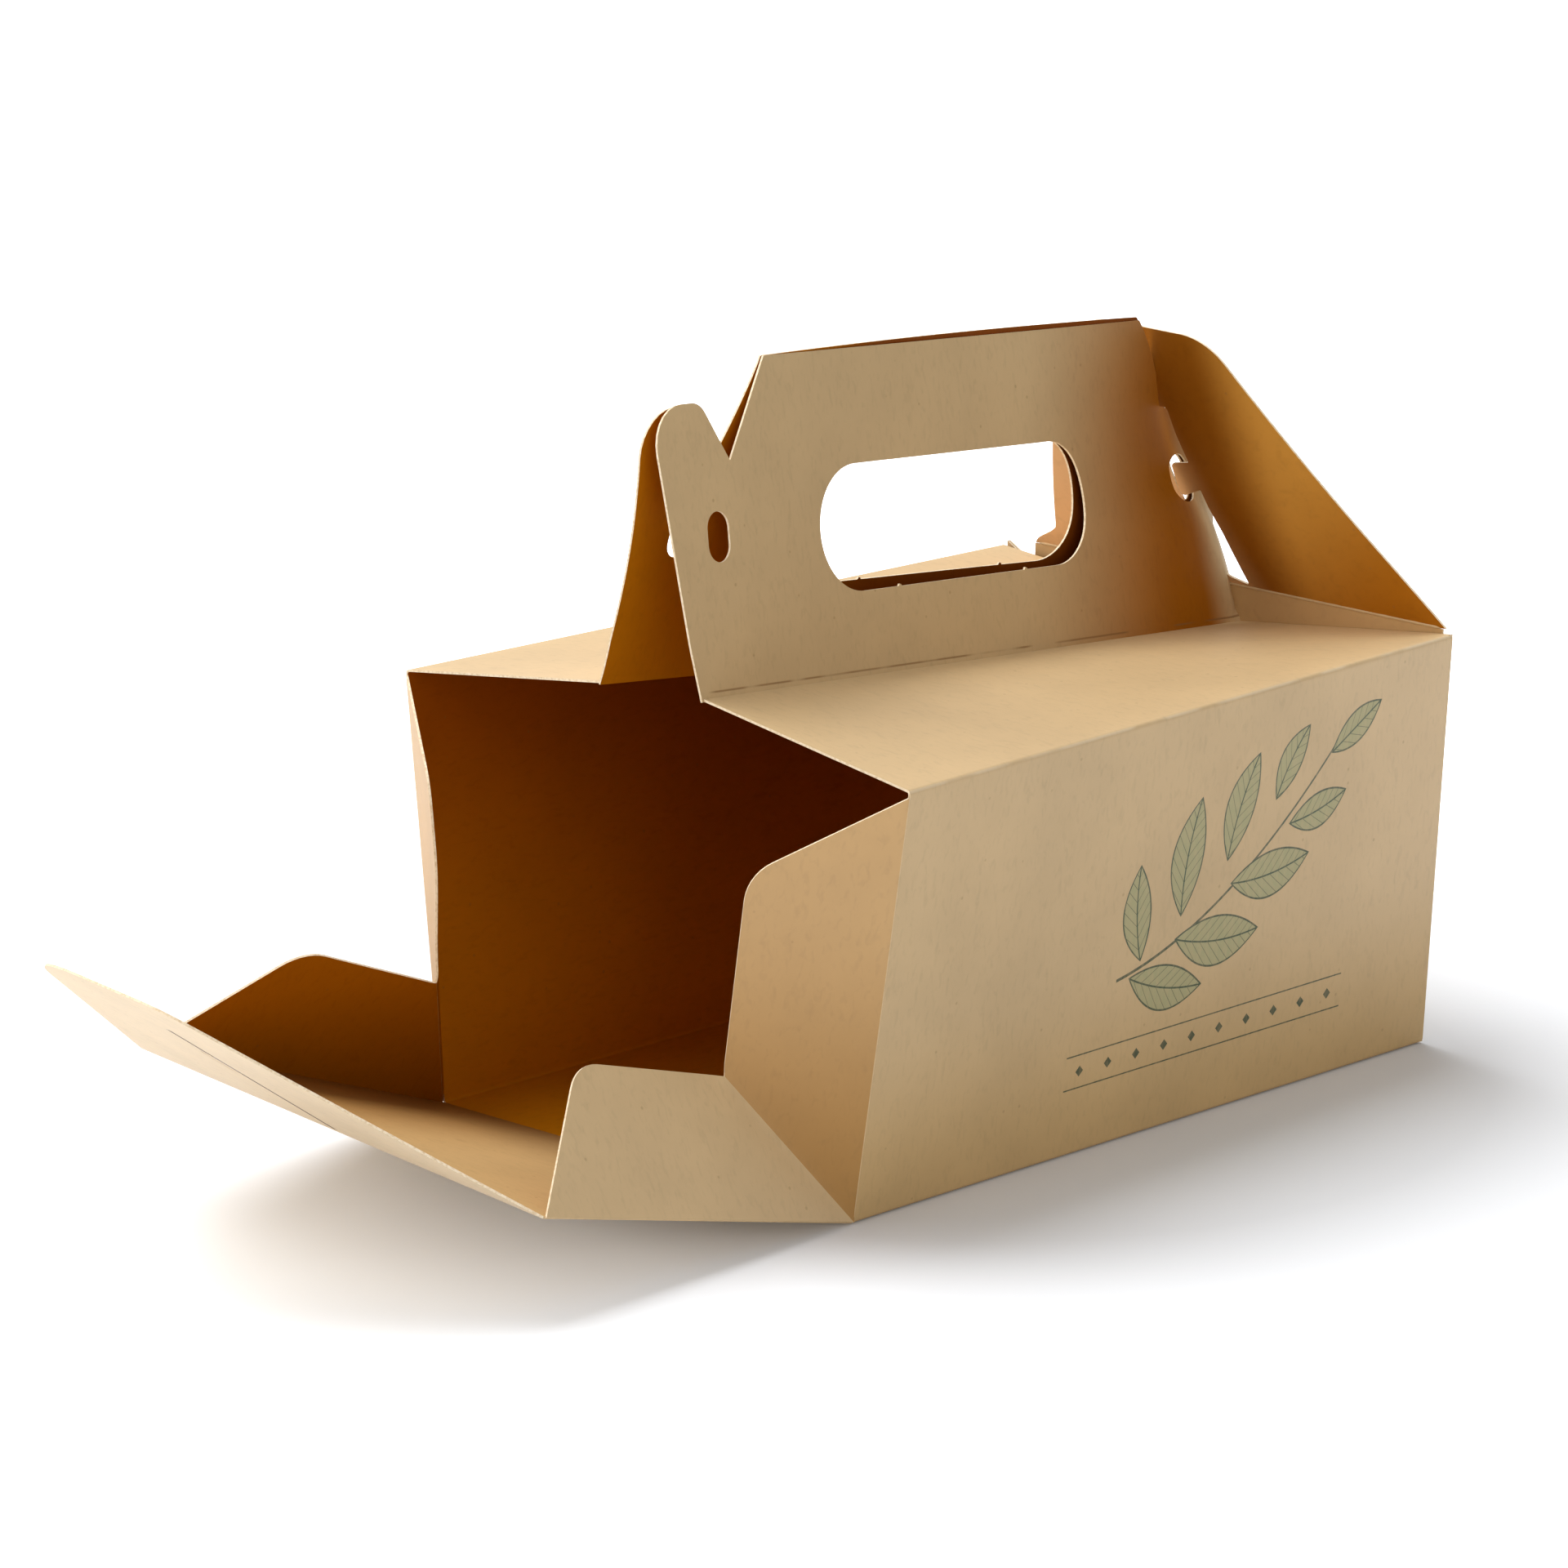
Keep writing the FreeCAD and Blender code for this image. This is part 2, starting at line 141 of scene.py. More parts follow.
def pill(u0, u1, v0, v1, pieces=14):              # a slot with round ends
    r = endRadius(u1 - u0, v1 - v0)
    return roundCorners([(u0, v0, r), (u1, v0, r), (u1, v1, r), (u0, v1, r)], pieces)


# triangles over a flat outline with holes: rim points, a square grid inside, Delaunay between them
def fillFlat(loops, grid, edgeStep):
    rims = [densify(np.asarray(loop, float), edgeStep) for loop in loops]
    low, high = rims[0].min(axis=0), rims[0].max(axis=0)
    gu, gv = np.meshgrid(np.arange(low[0] + grid / 2, high[0], grid),
                         np.arange(low[1] + grid / 2, high[1], grid))
    inner = np.stack([gu.ravel(), gv.ravel()], axis=1)
    allRim = np.concatenate(rims)
    gap = np.sqrt(((inner[:, None] - allRim[None]) ** 2).sum(axis=2)).min(axis=1)
    keep = inside(inner, rims[0]) & (gap > grid * board["rimGap"])
    for rim in rims[1:]:
        keep &= ~inside(inner, rim)
    points = np.concatenate([allRim, inner[keep]])
    edges, first = [], 0
    for rim in rims:
        index = first + np.arange(len(rim))
        edges.append(np.stack([index, np.roll(index, -1)], axis=1))
        first += len(rim)
    edges = np.concatenate(edges).tolist()
    verts, _, faces, *_ = delaunay_2d_cdt([Vector(q) for q in points.tolist()], edges, [], 0, 1e-7)
    uv = np.array([(q.x, q.y) for q in verts])
    tris = np.array([tuple(f) for f in faces if len(f) == 3])
    middle = uv[tris].mean(axis=1)
    keep = inside(middle, rims[0])
    for rim in rims[1:]:
        keep &= ~inside(middle, rim)
    tris = tris[keep]
    a, b, c = uv[tris[:, 0]], uv[tris[:, 1]], uv[tris[:, 2]]
    area = (b[:, 0] - a[:, 0]) * (c[:, 1] - a[:, 1]) - (b[:, 1] - a[:, 1]) * (c[:, 0] - a[:, 0])
    tris[area < 0] = tris[area < 0][:, ::-1]
    return uv, tris


def onLine(a, level=0.0):
    return abs(a - level) < board["near"]


def gridFaces(rows, cols):                        # four-sided faces of a grid whose points run row by row
    i = np.arange(rows - 1)[:, None] * cols + np.arange(cols - 1)[None]
    return np.stack([i, i + 1, i + cols + 1, i + cols], axis=-1).reshape(-1, 4)


def addMesh(name, co, polygons, materials, kinds, body):
    mesh = bpy.data.meshes.new(name)
    mesh.from_pydata((co * mm).tolist(), [], polygons)
    mesh.polygons.foreach_set("material_index", kinds.astype(np.int32))
    mesh.polygons.foreach_set("use_smooth", np.ones(len(polygons), bool))
    for m in materials:
        mesh.materials.append(m)
    mesh.update()
    obj = bpy.data.objects.new(name, mesh)
    bpy.context.scene.collection.objects.link(obj)
    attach(obj, body)
    return obj


# Board of even thickness: place(u, v) is its middle surface, the two faces lie half the thickness
# either side along the normal (du cross dv), and a band joins them along every rim. The rim along
# a fold line (a test on u and v) is covered like the outer face, the rest shows the cut board.
# The flat blank's own coordinates are kept as the UV map "blank".
def makeSheet(name, uv, faces, place, materials, body, onFold=None, turned=False):
    thick, step, count = board["thick"], board["slopeStep"], len(uv)
    faces = faces[:, ::-1] if turned else faces
    u, v = uv[:, 0], uv[:, 1]
    mid = place(u, v)
    normal = unit(np.cross(place(u + step, v) - place(u - step, v), place(u, v + step) - place(u, v - step)))
    normal = -normal if turned else normal
    co = np.concatenate([mid + normal * thick / 2, mid - normal * thick / 2])
    ring = faces.shape[1]
    side = np.concatenate([np.stack([faces[:, i], faces[:, (i + 1) % ring]], axis=1) for i in range(ring)])
    key = np.sort(side, axis=1)
    _, back, uses = np.unique(key[:, 0] * count + key[:, 1], return_inverse=True, return_counts=True)
    rim = side[uses[back] == 1]
    band = np.stack([rim[:, 0] + count, rim[:, 1] + count, rim[:, 1], rim[:, 0]], axis=1)
    polygons = faces.tolist() + (faces[:, ::-1] + count).tolist() + band.tolist()
    bandKind = np.full(len(band), 2)
    if onFold is not None:
        bandKind[onFold(u[rim], v[rim]).all(axis=1)] = 0
    kinds = np.concatenate([np.zeros(len(faces), int), np.ones(len(faces), int), bandKind])
    obj = addMesh(name, co, polygons, materials, kinds, body)
    mesh = obj.data
    layer = mesh.uv_layers.new(name="blank")
    loopVert = np.empty(len(mesh.loops), np.int32)
    mesh.loops.foreach_get("vertex_index", loopVert)
    layer.data.foreach_set("uv", (np.concatenate([uv, uv])[loopVert] * mm).astype(np.float32).ravel())
    pair = np.empty(len(mesh.edges) * 2, np.int32)
    mesh.edges.foreach_get("vertices", pair)
    pair = np.sort(pair.reshape(-1, 2) % count, axis=1)
    rimKey = np.sort(rim, axis=1)
    sharp = np.isin(pair[:, 0] * count + pair[:, 1], rimKey[:, 0] * count + rimKey[:, 1])
    mesh.attributes.new("sharp_edge", "BOOLEAN", "EDGE").data.foreach_set("value", sharp)
    flatNormal = np.empty(len(mesh.polygons) * 3, np.float32)
    mesh.polygons.foreach_get("normal", flatNormal)
    faceOf = np.repeat(np.arange(len(polygons)), [len(p) for p in polygons])
    onSheet = np.concatenate([normal, -normal])[loopVert]
    onRim = flatNormal.reshape(-1, 3)[faceOf]
    mesh.normals_split_custom_set(np.where(faceOf[:, None] < 2 * len(faces), onSheet, onRim).tolist())


# a colour as a paint chart gives it, 0 to 255, made linear: c / 12.92 when dark, otherwise
# ((c + 0.055) / 1.055) to the power 2.4
def paint(r, g, b):
    c = np.array([r, g, b]) / 255.0
    return (*np.where(c <= 0.04045, c / 12.92, ((c + 0.055) / 1.055) ** 2.4).tolist(), 1.0)


def newMaterial(name):
    mat = bpy.data.materials.new(name)
    mat.use_nodes = True
    mat.node_tree.nodes.clear()
    return mat, mat.node_tree


# one shader node: settings go on the node, values or other nodes' outputs into its sockets
def put(tree, kind, settings=None, **sockets):
    made = tree.nodes.new("ShaderNode" + kind)
    for key, value in (settings or {}).items():
        setattr(made, key, value)
    for key, value in sockets.items():
        socket = made.inputs[int(key[1:])] if key[0] == "i" and key[1:].isdigit() else made.inputs[key]
        if isinstance(value, bpy.types.NodeSocket):
            tree.links.new(value, socket)
        else:
            socket.default_value = value
    return made


def calc(tree, operation, a, b=0.0, c=0.0):
    return put(tree, "Math", dict(operation=operation), i0=a, i1=b, i2=c).outputs[0]


def times(tree, a, b):
    return calc(tree, "MULTIPLY", a, b)


def noise(tree, where, scale, detail, **more):
    return put(tree, "TexNoise", Vector=where, Scale=scale, Detail=detail, **more).outputs["Fac"]


# a value between low and high carried over to bottom and top, and held past them
def ramp(tree, value, low, high, bottom=0.0, top=1.0):
    return put(tree, "MapRange", Value=value, **{"From Min": low, "From Max": high, "To Min": bottom,
                                                       "To Max": top}).outputs["Result"]


def blendColour(tree, amount, a, b):
    return put(tree, "Mix", dict(data_type="RGBA"), i0=amount, i6=a, i7=b).outputs[2]


kraft = dict(
    # outer is the board's own colour; top is painted light on the top halves, low is painted shade at the
    # foot of the walls, and the pale tone of the open end's locking flap is painted light
    outer=(212, 181, 134), top=(215, 183, 134), low=(204, 169, 114), pale=(231, 206, 169),
    # painted shade at the handle's far end, painted light at the front wall's far end, and the gusset webs'
    # outer face as painted shade, darker still towards its foot
    paintedShadeFarHandle=(168, 100, 12), paintedLitFarWall=(226, 195, 150), web=(202, 162, 108), paintedShadeWebLow=(176, 130, 66),
    # inside faces: the wrap, handles and webs are the inside's kraft made deep and saturated as painted shade
    # inside the box, deeper where the fades put it; panelInner is the inside's own colour where lit, with a
    # painted shadow of the back web
    wrapInnerShaded=(218, 138, 14), wrapShadeDeep=(168, 84, 4), handleInnerShaded=(192, 118, 10), handleShade=(130, 66, 10),
    panelInner=(206, 168, 114), panelInnerShadow=(166, 112, 46), webInnerShaded=(182, 108, 5),
    # the locked flap's inside: painted shade where the handle shades it, deeper at its lower front, darker
    # along the shadow's edge, painted light towards its back
    lockedLow=(214, 154, 68), lockedShadeDeep=(178, 110, 24), lockedShadowEdge=(150, 90, 20), lockedLit=(220, 174, 124),
    # slitShade is painted shade along the slit; the speck colour draws real specks and also the painted
    # shadow of a dark crease, the edge colour the cut face and also the lighter crease lines
    slitShade=(92, 50, 16), edge=(247, 228, 196), speckAndCreaseShadow=(140, 102, 60),
    cloudScale=30.0, cloudFrom=0.36, cloudTo=0.68, cloud=0.90,     # soft clouds, and how dark they get
    fibreScale=850.0, fibreFrom=0.52, fibreTo=0.86, fibre=0.87,    # streaky fibres, the same
    fibreRun=(1.0, 0.4, 0.4), crossRun=(0.35, 1.0, 1.0),           # streaks across the box, or along it
    speckScale=150.0, speckOut=0.07, speckIn=0.04, speckTone=0.3,
    creaseMarkScale=80.0, creaseMarkFrom=0.38, creaseMarkTo=0.5, creaseMarkCore=0.3, creaseMarkDeep=2.0,    # crease lines: lighter ones partly rubbed board, partly painted highlight; dark ones painted shadow
    outerBump=0.25, innerBump=0.4, creaseBump=0.3, relief=0.00006, roughness=0.52, gloss=0.5,
    innerGloss=0.04)


# the printed sprig on the front wall: leaves as (along, height, turn in degrees, half length, half
# width, bow), all in mm on the wall; below it two thin rules with a row of diamonds
ink = dict(
    sage=(163, 160, 114), dark=(18, 52, 24), fillStrength=0.85, lineStrength=0.92,
    wearFrom=0.25, wearTo=0.6, worn=0.75,         # fibres that took less ink
    shift=-9.0,    # of the whole print, along the wall
    line=0.00022, lineEnd=1.04, rib=0.0002,
    vein=0.00011, veinSlant=1.1, veinStep=0.0014, veinTone=0.75,
    stem=((-8.0, 37.0), (62.0, 76.0), 7.0, 0.36),
    leaves=((-2.0, 51.0, 98.0, 11.0, 4.6, 1.2), (9.0, 33.5, -14.0, 13.0, 5.0, -1.4),
            (14.0, 60.5, 82.0, 13.0, 5.4, 1.4), (25.5, 41.0, -6.0, 14.5, 5.6, -1.6),
            (31.0, 68.5, 70.0, 12.0, 5.0, 1.2), (42.5, 52.5, 4.0, 13.5, 5.2, -1.4),
            (47.5, 75.5, 56.0, 9.0, 3.9, 0.9), (58.0, 63.5, 12.0, 10.0, 4.0, -0.9),
            (70.0, 79.5, 28.0, 9.5, 3.6, 0.0)),
    rules=(15.0, 22.5), ruleFrom=-22.0, ruleTo=72.0, rule=0.00016, diamondStep=9.4, diamond=1.25)


# Leaf drawn in the plane of the blank. Along its midrib e runs from -1 to 1 and its half width is
# b(1 - e^2); the midrib bows by k(1 - e^2). Ink lies along the outline, midrib and slanted veins.
def makeLeafGroup():
    group = bpy.data.node_groups.new("leafDrawing", "ShaderNodeTree")
    face = group.interface
    for name in ("At", "X", "Y", "Turn", "Half length", "Half width", "Bow", "Fill below", "Ink below"):
        kind = "NodeSocketVector" if name == "At" else "NodeSocketFloat"
        face.new_socket(name=name, in_out="INPUT", socket_type=kind)
    for name in ("Fill", "Ink"):
        face.new_socket(name=name, in_out="OUTPUT", socket_type="NodeSocketFloat")
    given = group.nodes.new("NodeGroupInput").outputs
    place = put(group, "SeparateXYZ", Vector=given["At"]).outputs
    x = calc(group, "SUBTRACT", place[0], given["X"])
    y = calc(group, "SUBTRACT", place[1], given["Y"])
    c, s = calc(group, "COSINE", given["Turn"]), calc(group, "SINE", given["Turn"])
    p = calc(group, "ADD", times(group, x, c), times(group, y, s))
    q = calc(group, "SUBTRACT", times(group, y, c), times(group, x, s))
    e = calc(group, "DIVIDE", p, given["Half length"])
    arch = calc(group, "SUBTRACT", 1.0, times(group, e, e))
    q = calc(group, "SUBTRACT", q, times(group, arch, given["Bow"]))
    off = calc(group, "ABSOLUTE", q)
    edge = calc(group, "SUBTRACT", times(group, arch, given["Half width"]), off)
    fill = calc(group, "GREATER_THAN", edge, 0.0)
    rim = calc(group, "COMPARE", edge, 0.0, ink["line"])
    rim = times(group, rim, calc(group, "LESS_THAN", calc(group, "ABSOLUTE", e), ink["lineEnd"]))
    rib = calc(group, "LESS_THAN", off, ink["rib"])
    slant = calc(group, "SUBTRACT", times(group, off, ink["veinSlant"]), p)
    vein = calc(group, "COMPARE", calc(group, "PINGPONG", slant, ink["veinStep"]), 0.0, ink["vein"])
    vein = times(group, vein, ink["veinTone"])
    lines = times(group, calc(group, "MAXIMUM", rib, vein), fill)
    lines = calc(group, "MAXIMUM", rim, lines)
    clear = calc(group, "SUBTRACT", 1.0, fill)
    left = group.nodes.new("NodeGroupOutput").inputs
    below = times(group, given["Ink below"], clear)
    group.links.new(calc(group, "MAXIMUM", fill, given["Fill below"]), left["Fill"])
    group.links.new(calc(group, "MAXIMUM", lines, below), left["Ink"])
    return group


# leaves, stem, rules and diamonds as two masks over the wall's flat coordinates in metres; the stem
# is a straight line less 4 bow t(1 - t)
def drawPrint(tree, flat):
    leaf = makeLeafGroup()
    place = put(tree, "SeparateXYZ", Vector=flat).outputs
    head, foot = foldAt[1], foldAt[2]
    x, high = calc(tree, "SUBTRACT", place[0], ink["shift"] * mm), calc(tree, "SUBTRACT", foot * mm, place[1])
    at = put(tree, "CombineXYZ", X=x, Y=high).outputs[0]
    (x0, y0), (x1, y1), bow, thick = ink["stem"]
    t = ramp(tree, x, x0 * mm, x1 * mm)
    arch = times(tree, t, calc(tree, "SUBTRACT", t, 1.0))
    line = calc(tree, "ADD", ramp(tree, x, x0 * mm, x1 * mm, y0 * mm, y1 * mm),
                times(tree, arch, 4 * bow * mm))
    stem = calc(tree, "COMPARE", high, line, thick * mm)
    stem = times(tree, stem, calc(tree, "COMPARE", x, (x0 + x1) / 2 * mm, (x1 - x0) / 2 * mm))
    fill, lines = 0.0, stem
    for cx, cy, turn, a, b, k in ink["leaves"]:
        made = put(tree, "Group", dict(node_tree=leaf), At=at, X=cx * mm, Y=cy * mm, Turn=math.radians(turn),
                   Bow=k * mm, **{"Half length": a * mm, "Half width": b * mm, "Fill below": fill,
                                  "Ink below": lines})
        fill, lines = made.outputs["Fill"], made.outputs["Ink"]
    a, b = ink["ruleFrom"] * mm, ink["ruleTo"] * mm
    across = calc(tree, "COMPARE", x, (a + b) / 2, (b - a) / 2)
    for level in ink["rules"]:
        rule = calc(tree, "COMPARE", high, level * mm, ink["rule"])
        lines = calc(tree, "MAXIMUM", lines, times(tree, rule, across))
    step = ink["diamondStep"] * mm
    beside = calc(tree, "PINGPONG", calc(tree, "SUBTRACT", x, a), step / 2)
    beside = calc(tree, "SUBTRACT", step / 2, beside)
    above = calc(tree, "ABSOLUTE", calc(tree, "SUBTRACT", high, sum(ink["rules"]) / 2 * mm))
    diamond = calc(tree, "LESS_THAN", calc(tree, "ADD", beside, above), ink["diamond"] * mm)
    lines = calc(tree, "MAXIMUM", lines, times(tree, diamond, across))
    onWall = calc(tree, "COMPARE", place[1], (head + foot) / 2 * mm, (foot - head) / 2 * mm)
    return times(tree, fill, onWall), times(tree, lines, onWall)


# Kraft board: a tone that may fade into others across the piece (fades: second tone, direction in space
# or on the flat blank, where it starts and ends along it; the fades paint light and shade), multiplied by
# soft clouds and fine streaky fibres, with specks. Creases are (axis on the blank, level, half width,
# strength, dark): a light line is partly rubbed board and partly painted highlight, a dark one painted
# shadow in the crease. A slit is (its place at the foot and at the head, low end, high end, half width),
# drawn as a line of painted shade along the cut.
def kraftMaterial(name, tone, bump, fade=(), gloss=None, creases=(), printed=False, crossFibre=False,
                  slit=None):
    mat, tree = newMaterial(name)
    where = put(tree, "TexCoord").outputs["Object"]
    flat = put(tree, "UVMap", dict(uv_map="blank")).outputs[0]
    colour = put(tree, "RGB").outputs[0]
    colour.default_value = paint(*kraft[tone])
    for second, direction, start, end in fade:
        source = flat if len(direction) == 2 else where
        along = put(tree, "VectorMath", dict(operation="DOT_PRODUCT"), i0=source, i1=(*direction, 0)[:3])
        amount = put(tree, "MapRange", dict(interpolation_type="SMOOTHSTEP"), Value=along.outputs["Value"],
                     **{"From Min": start * mm, "From Max": end * mm}).outputs["Result"]
        colour = blendColour(tree, amount, colour, paint(*kraft[second]))
    cloud = noise(tree, where, kraft["cloudScale"], 5.0, Roughness=0.62)
    run = kraft["crossRun"] if crossFibre else kraft["fibreRun"]
    drawn = put(tree, "Mapping", Vector=where, Scale=run).outputs[0]
    hair = noise(tree, drawn, kraft["fibreScale"], 3.0, Distortion=0.6)
    cloud = ramp(tree, cloud, kraft["cloudFrom"], kraft["cloudTo"], 1.0, kraft["cloud"])
    streaks = ramp(tree, hair, kraft["fibreFrom"], kraft["fibreTo"], 1.0, kraft["fibre"])
    level = times(tree, cloud, streaks)
    colour = put(tree, "VectorMath", dict(operation="SCALE"), i0=colour, Scale=level).outputs[0]
    dots = put(tree, "TexVoronoi", Vector=where, Scale=kraft["speckScale"]).outputs["Distance"]
    dots = ramp(tree, dots, kraft["speckOut"], kraft["speckIn"], 0.0, kraft["speckTone"])
    colour = blendColour(tree, dots, colour, paint(*kraft["speckAndCreaseShadow"]))
    height = hair
    if creases:
        place = put(tree, "SeparateXYZ", Vector=flat).outputs
        rough = ramp(tree, noise(tree, where, kraft["creaseMarkScale"], 1.0), kraft["creaseMarkFrom"], kraft["creaseMarkTo"])
        # a lighter crease line is partly rubbed board and partly painted highlight, a dark one is painted
        # shadow in the crease
        for axis, level, wide, strength, dark in creases:
            away = calc(tree, "ABSOLUTE", calc(tree, "SUBTRACT", place[axis], level * mm))
            worn = times(tree, ramp(tree, away, wide * mm, kraft["creaseMarkCore"] * wide * mm), rough)
            worn = times(tree, worn, strength)
            colour = blendColour(tree, worn, colour, paint(*(kraft["speckAndCreaseShadow"] if dark else kraft["edge"])))
            height = calc(tree, "SUBTRACT", height, times(tree, worn, kraft["creaseMarkDeep"]))
    if printed:
        fill, lines = drawPrint(tree, flat)
        wear = ramp(tree, hair, ink["wearFrom"], ink["wearTo"], ink["worn"], 1.0)
        for mask, strength, tone in ((fill, "fillStrength", "sage"), (lines, "lineStrength", "dark")):
            amount = times(tree, mask, times(tree, wear, ink[strength]))
            colour = blendColour(tree, amount, colour, paint(*ink[tone]))
    # the slit is drawn as a line of painted shade along the cut
    if slit:
        foot, head, low, high, reach = slit
        place = put(tree, "SeparateXYZ", Vector=flat).outputs
        line = put(tree, "MapRange", dict(clamp=False), Value=place[1],
                   **{"From Max": high * mm, "To Min": foot * mm, "To Max": head * mm}).outputs["Result"]
        near = calc(tree, "COMPARE", place[0], line, reach * mm)
        within = calc(tree, "COMPARE", place[1], (low + high) / 2 * mm, (high - low) / 2 * mm)
        near = times(tree, near, within)
        colour = blendColour(tree, near, colour, paint(*kraft["slitShade"]))
    relief = put(tree, "Bump", Height=height, Strength=bump, Distance=kraft["relief"]).outputs[0]
    shade = put(tree, "BsdfPrincipled", Roughness=kraft["roughness"], Normal=relief,
                **{"Base Color": colour, "Specular IOR Level": kraft["gloss"] if gloss is None else gloss})
    put(tree, "OutputMaterial", Surface=shade.outputs[0])
    return mat


cut = dict(fibreScale=1400.0, fibreFrom=0.42, fibreTo=0.75, fibre=0.8, bump=0.4, relief=0.00005,
           roughness=0.8)


# cut face of the board: pale, with darker fibres across it
def edgeMaterial():
    mat, tree = newMaterial("cutEdge")
    where = put(tree, "TexCoord").outputs["Object"]
    hair = noise(tree, where, cut["fibreScale"], 2.0)
    dark = ramp(tree, hair, cut["fibreFrom"], cut["fibreTo"], 0.0, cut["fibre"])
    colour = blendColour(tree, dark, paint(*kraft["edge"]), paint(*kraft["outer"]))
    relief = put(tree, "Bump", Height=hair, Strength=cut["bump"], Distance=cut["relief"]).outputs[0]
    shade = put(tree, "BsdfPrincipled", Roughness=cut["roughness"], Normal=relief,
                **{"Base Color": colour})
    put(tree, "OutputMaterial", Surface=shade.outputs[0])
    return mat


outerBump, innerBump, dull = kraft["outerBump"], kraft["innerBump"], kraft["innerGloss"]
outerKraft = kraftMaterial("outerKraft", "outer", outerBump)
# the front wall is painted lighter towards its far end (painted light) and darker towards its foot (painted
# shade), the top halves take the top tone as painted light; the two top creases are lighter lines, partly
# rubbed board and partly painted highlight
wrapKraft = kraftMaterial(
    "wrapKraft", "outer", outerBump, printed=True,
    fade=(("paintedLitFarWall", (1, 0), 10, 110), ("low", (0, 0, 1), 45, 5),
          ("top", (0, 1), foldAt[1] + 2, foldAt[1] - 2), ("top", (0, 1), foldAt[4] - 2, foldAt[4] + 2)),
    creases=((1, foldAt[1], 0.5, 0.35, False), (1, foldAt[4], 0.5, 0.3, False)))
# painted shade darkens the handle towards its far, low end, which goes back to the outer tone past the slit
# where it is lit again; the dark line along its fold is painted shadow in the crease
handleKraft = kraftMaterial(
    "handleKraft", "outer", outerBump, gloss=0.12, creases=((1, 1.3, 0.3, 0.75, True),),
    fade=(("paintedShadeFarHandle", (1.0, 0, -0.25), -14, 54), ("outer", (1, 0, 0), 84, 95)))
# the webs' outer face and the folded plies take a darker tone as painted shade, the wall webs darker still
# towards their foot
webKraft = kraftMaterial("webKraft", "web", outerBump, fade=(("paintedShadeWebLow", (1, 0), 75, 12),))
plyKraft = kraftMaterial("plyKraft", "web", outerBump)
# inside faces: deep saturated tones as painted shade inside the box, the wrap's deeper higher up under the
# top halves, the handles' deeper between the two panels; the end panel's inside is its own colour with a
# painted shadow of the back web towards its back
wrapInnerShaded = kraftMaterial("wrapInnerShaded", "wrapInnerShaded", innerBump, gloss=dull, crossFibre=True,
                          fade=(("wrapShadeDeep", (0, 0, 1), 0, 90),))
handleInnerShaded = kraftMaterial("handleInnerShaded", "handleInnerShaded", innerBump, gloss=dull,
                            fade=(("handleShade", (1, 0), 30, 75),))
panelInner = kraftMaterial("panelInner", "panelInner", innerBump, gloss=dull,
                           fade=(("panelInnerShadow", (0, 1, 0), -20, 60),))
webInnerShaded = kraftMaterial("webInnerShaded", "webInnerShaded", innerBump, gloss=dull)
# painted shade where the handle shades the locked flap, deeper at its lower front and darker along the
# shadow's edge, painted light towards its back
lockedInner = kraftMaterial(
    "lockedInner", "lockedLow", innerBump, gloss=dull,
    fade=(("lockedShadeDeep", (0, -1, -0.7), -70, -20), ("lockedShadowEdge", (0, 1, -0.2), -46, -28),
          ("lockedLit", (0, 1, -0.5), -60, -44)))
cutEdge = edgeMaterial()
creaseKraft = kraftMaterial("creaseKraft", "outer", kraft["creaseBump"])
print("materials made")


# the wrap: top halves, side walls and base as one strip, x along the box and s along its profile
wrap = dict(along=48, window=9, bendReach=1.6, bendPoints=9, flatStep=5.0)
creaseNames = ("ridgeFront", "topFront", "footFront", "footBack", "topBack", "ridgeBack")
nearFolds = np.array([corner[k + "Near"] for k in creaseNames])
farFolds = np.array([corner[k + "Far"] for k in creaseNames])


# point at arc length s on the bent profile; averaging the straight profile over a short window
# turns each of its corners into a parabola
def roundedPath(s, folds):
    r = board["foldRadius"]
    total = 0.0
    for shift in np.linspace(-r, r, wrap["window"]):
        q = np.clip(s + shift, foldAt[0], foldAt[-1])
        total = total + np.stack([np.interp(q, foldAt, folds[:, i]) for i in range(3)], axis=-1)
    return total / wrap["window"]


def wrapPlace(x, s):                              # from the near profile to the far one by x
    t = (x + blank["length"] / 2) / blank["length"]
    return mix(roundedPath(s, nearFolds), roundedPath(s, farFolds), t)


def makeWrap():
    r, runs = board["foldRadius"] * wrap["bendReach"], []
    for a, b in zip(foldAt[:-1], foldAt[1:]):
        runs.append(np.linspace(a + r, b - r, max(3, int((b - a) / wrap["flatStep"]))))
        if b < foldAt[-1]:
            runs.append(np.linspace(b - r, b + r, wrap["bendPoints"])[1:-1])
    s = np.concatenate([[0.0]] + runs + [[foldAt[-1]]])
    x = np.linspace(-blank["length"] / 2, blank["length"] / 2, wrap["along"])
    gs, gx = np.meshgrid(s, x, indexing="ij")
    uv = np.stack([gx.ravel(), gs.ravel()], axis=1)
    makeSheet("cartonSheet", uv, gridFaces(len(s), len(x)), wrapPlace, [wrapKraft, wrapInnerShaded, cutEdge],
              "carton", onFold=lambda u, v: onLine(v) | onLine(v, foldAt[-1]), turned=True)


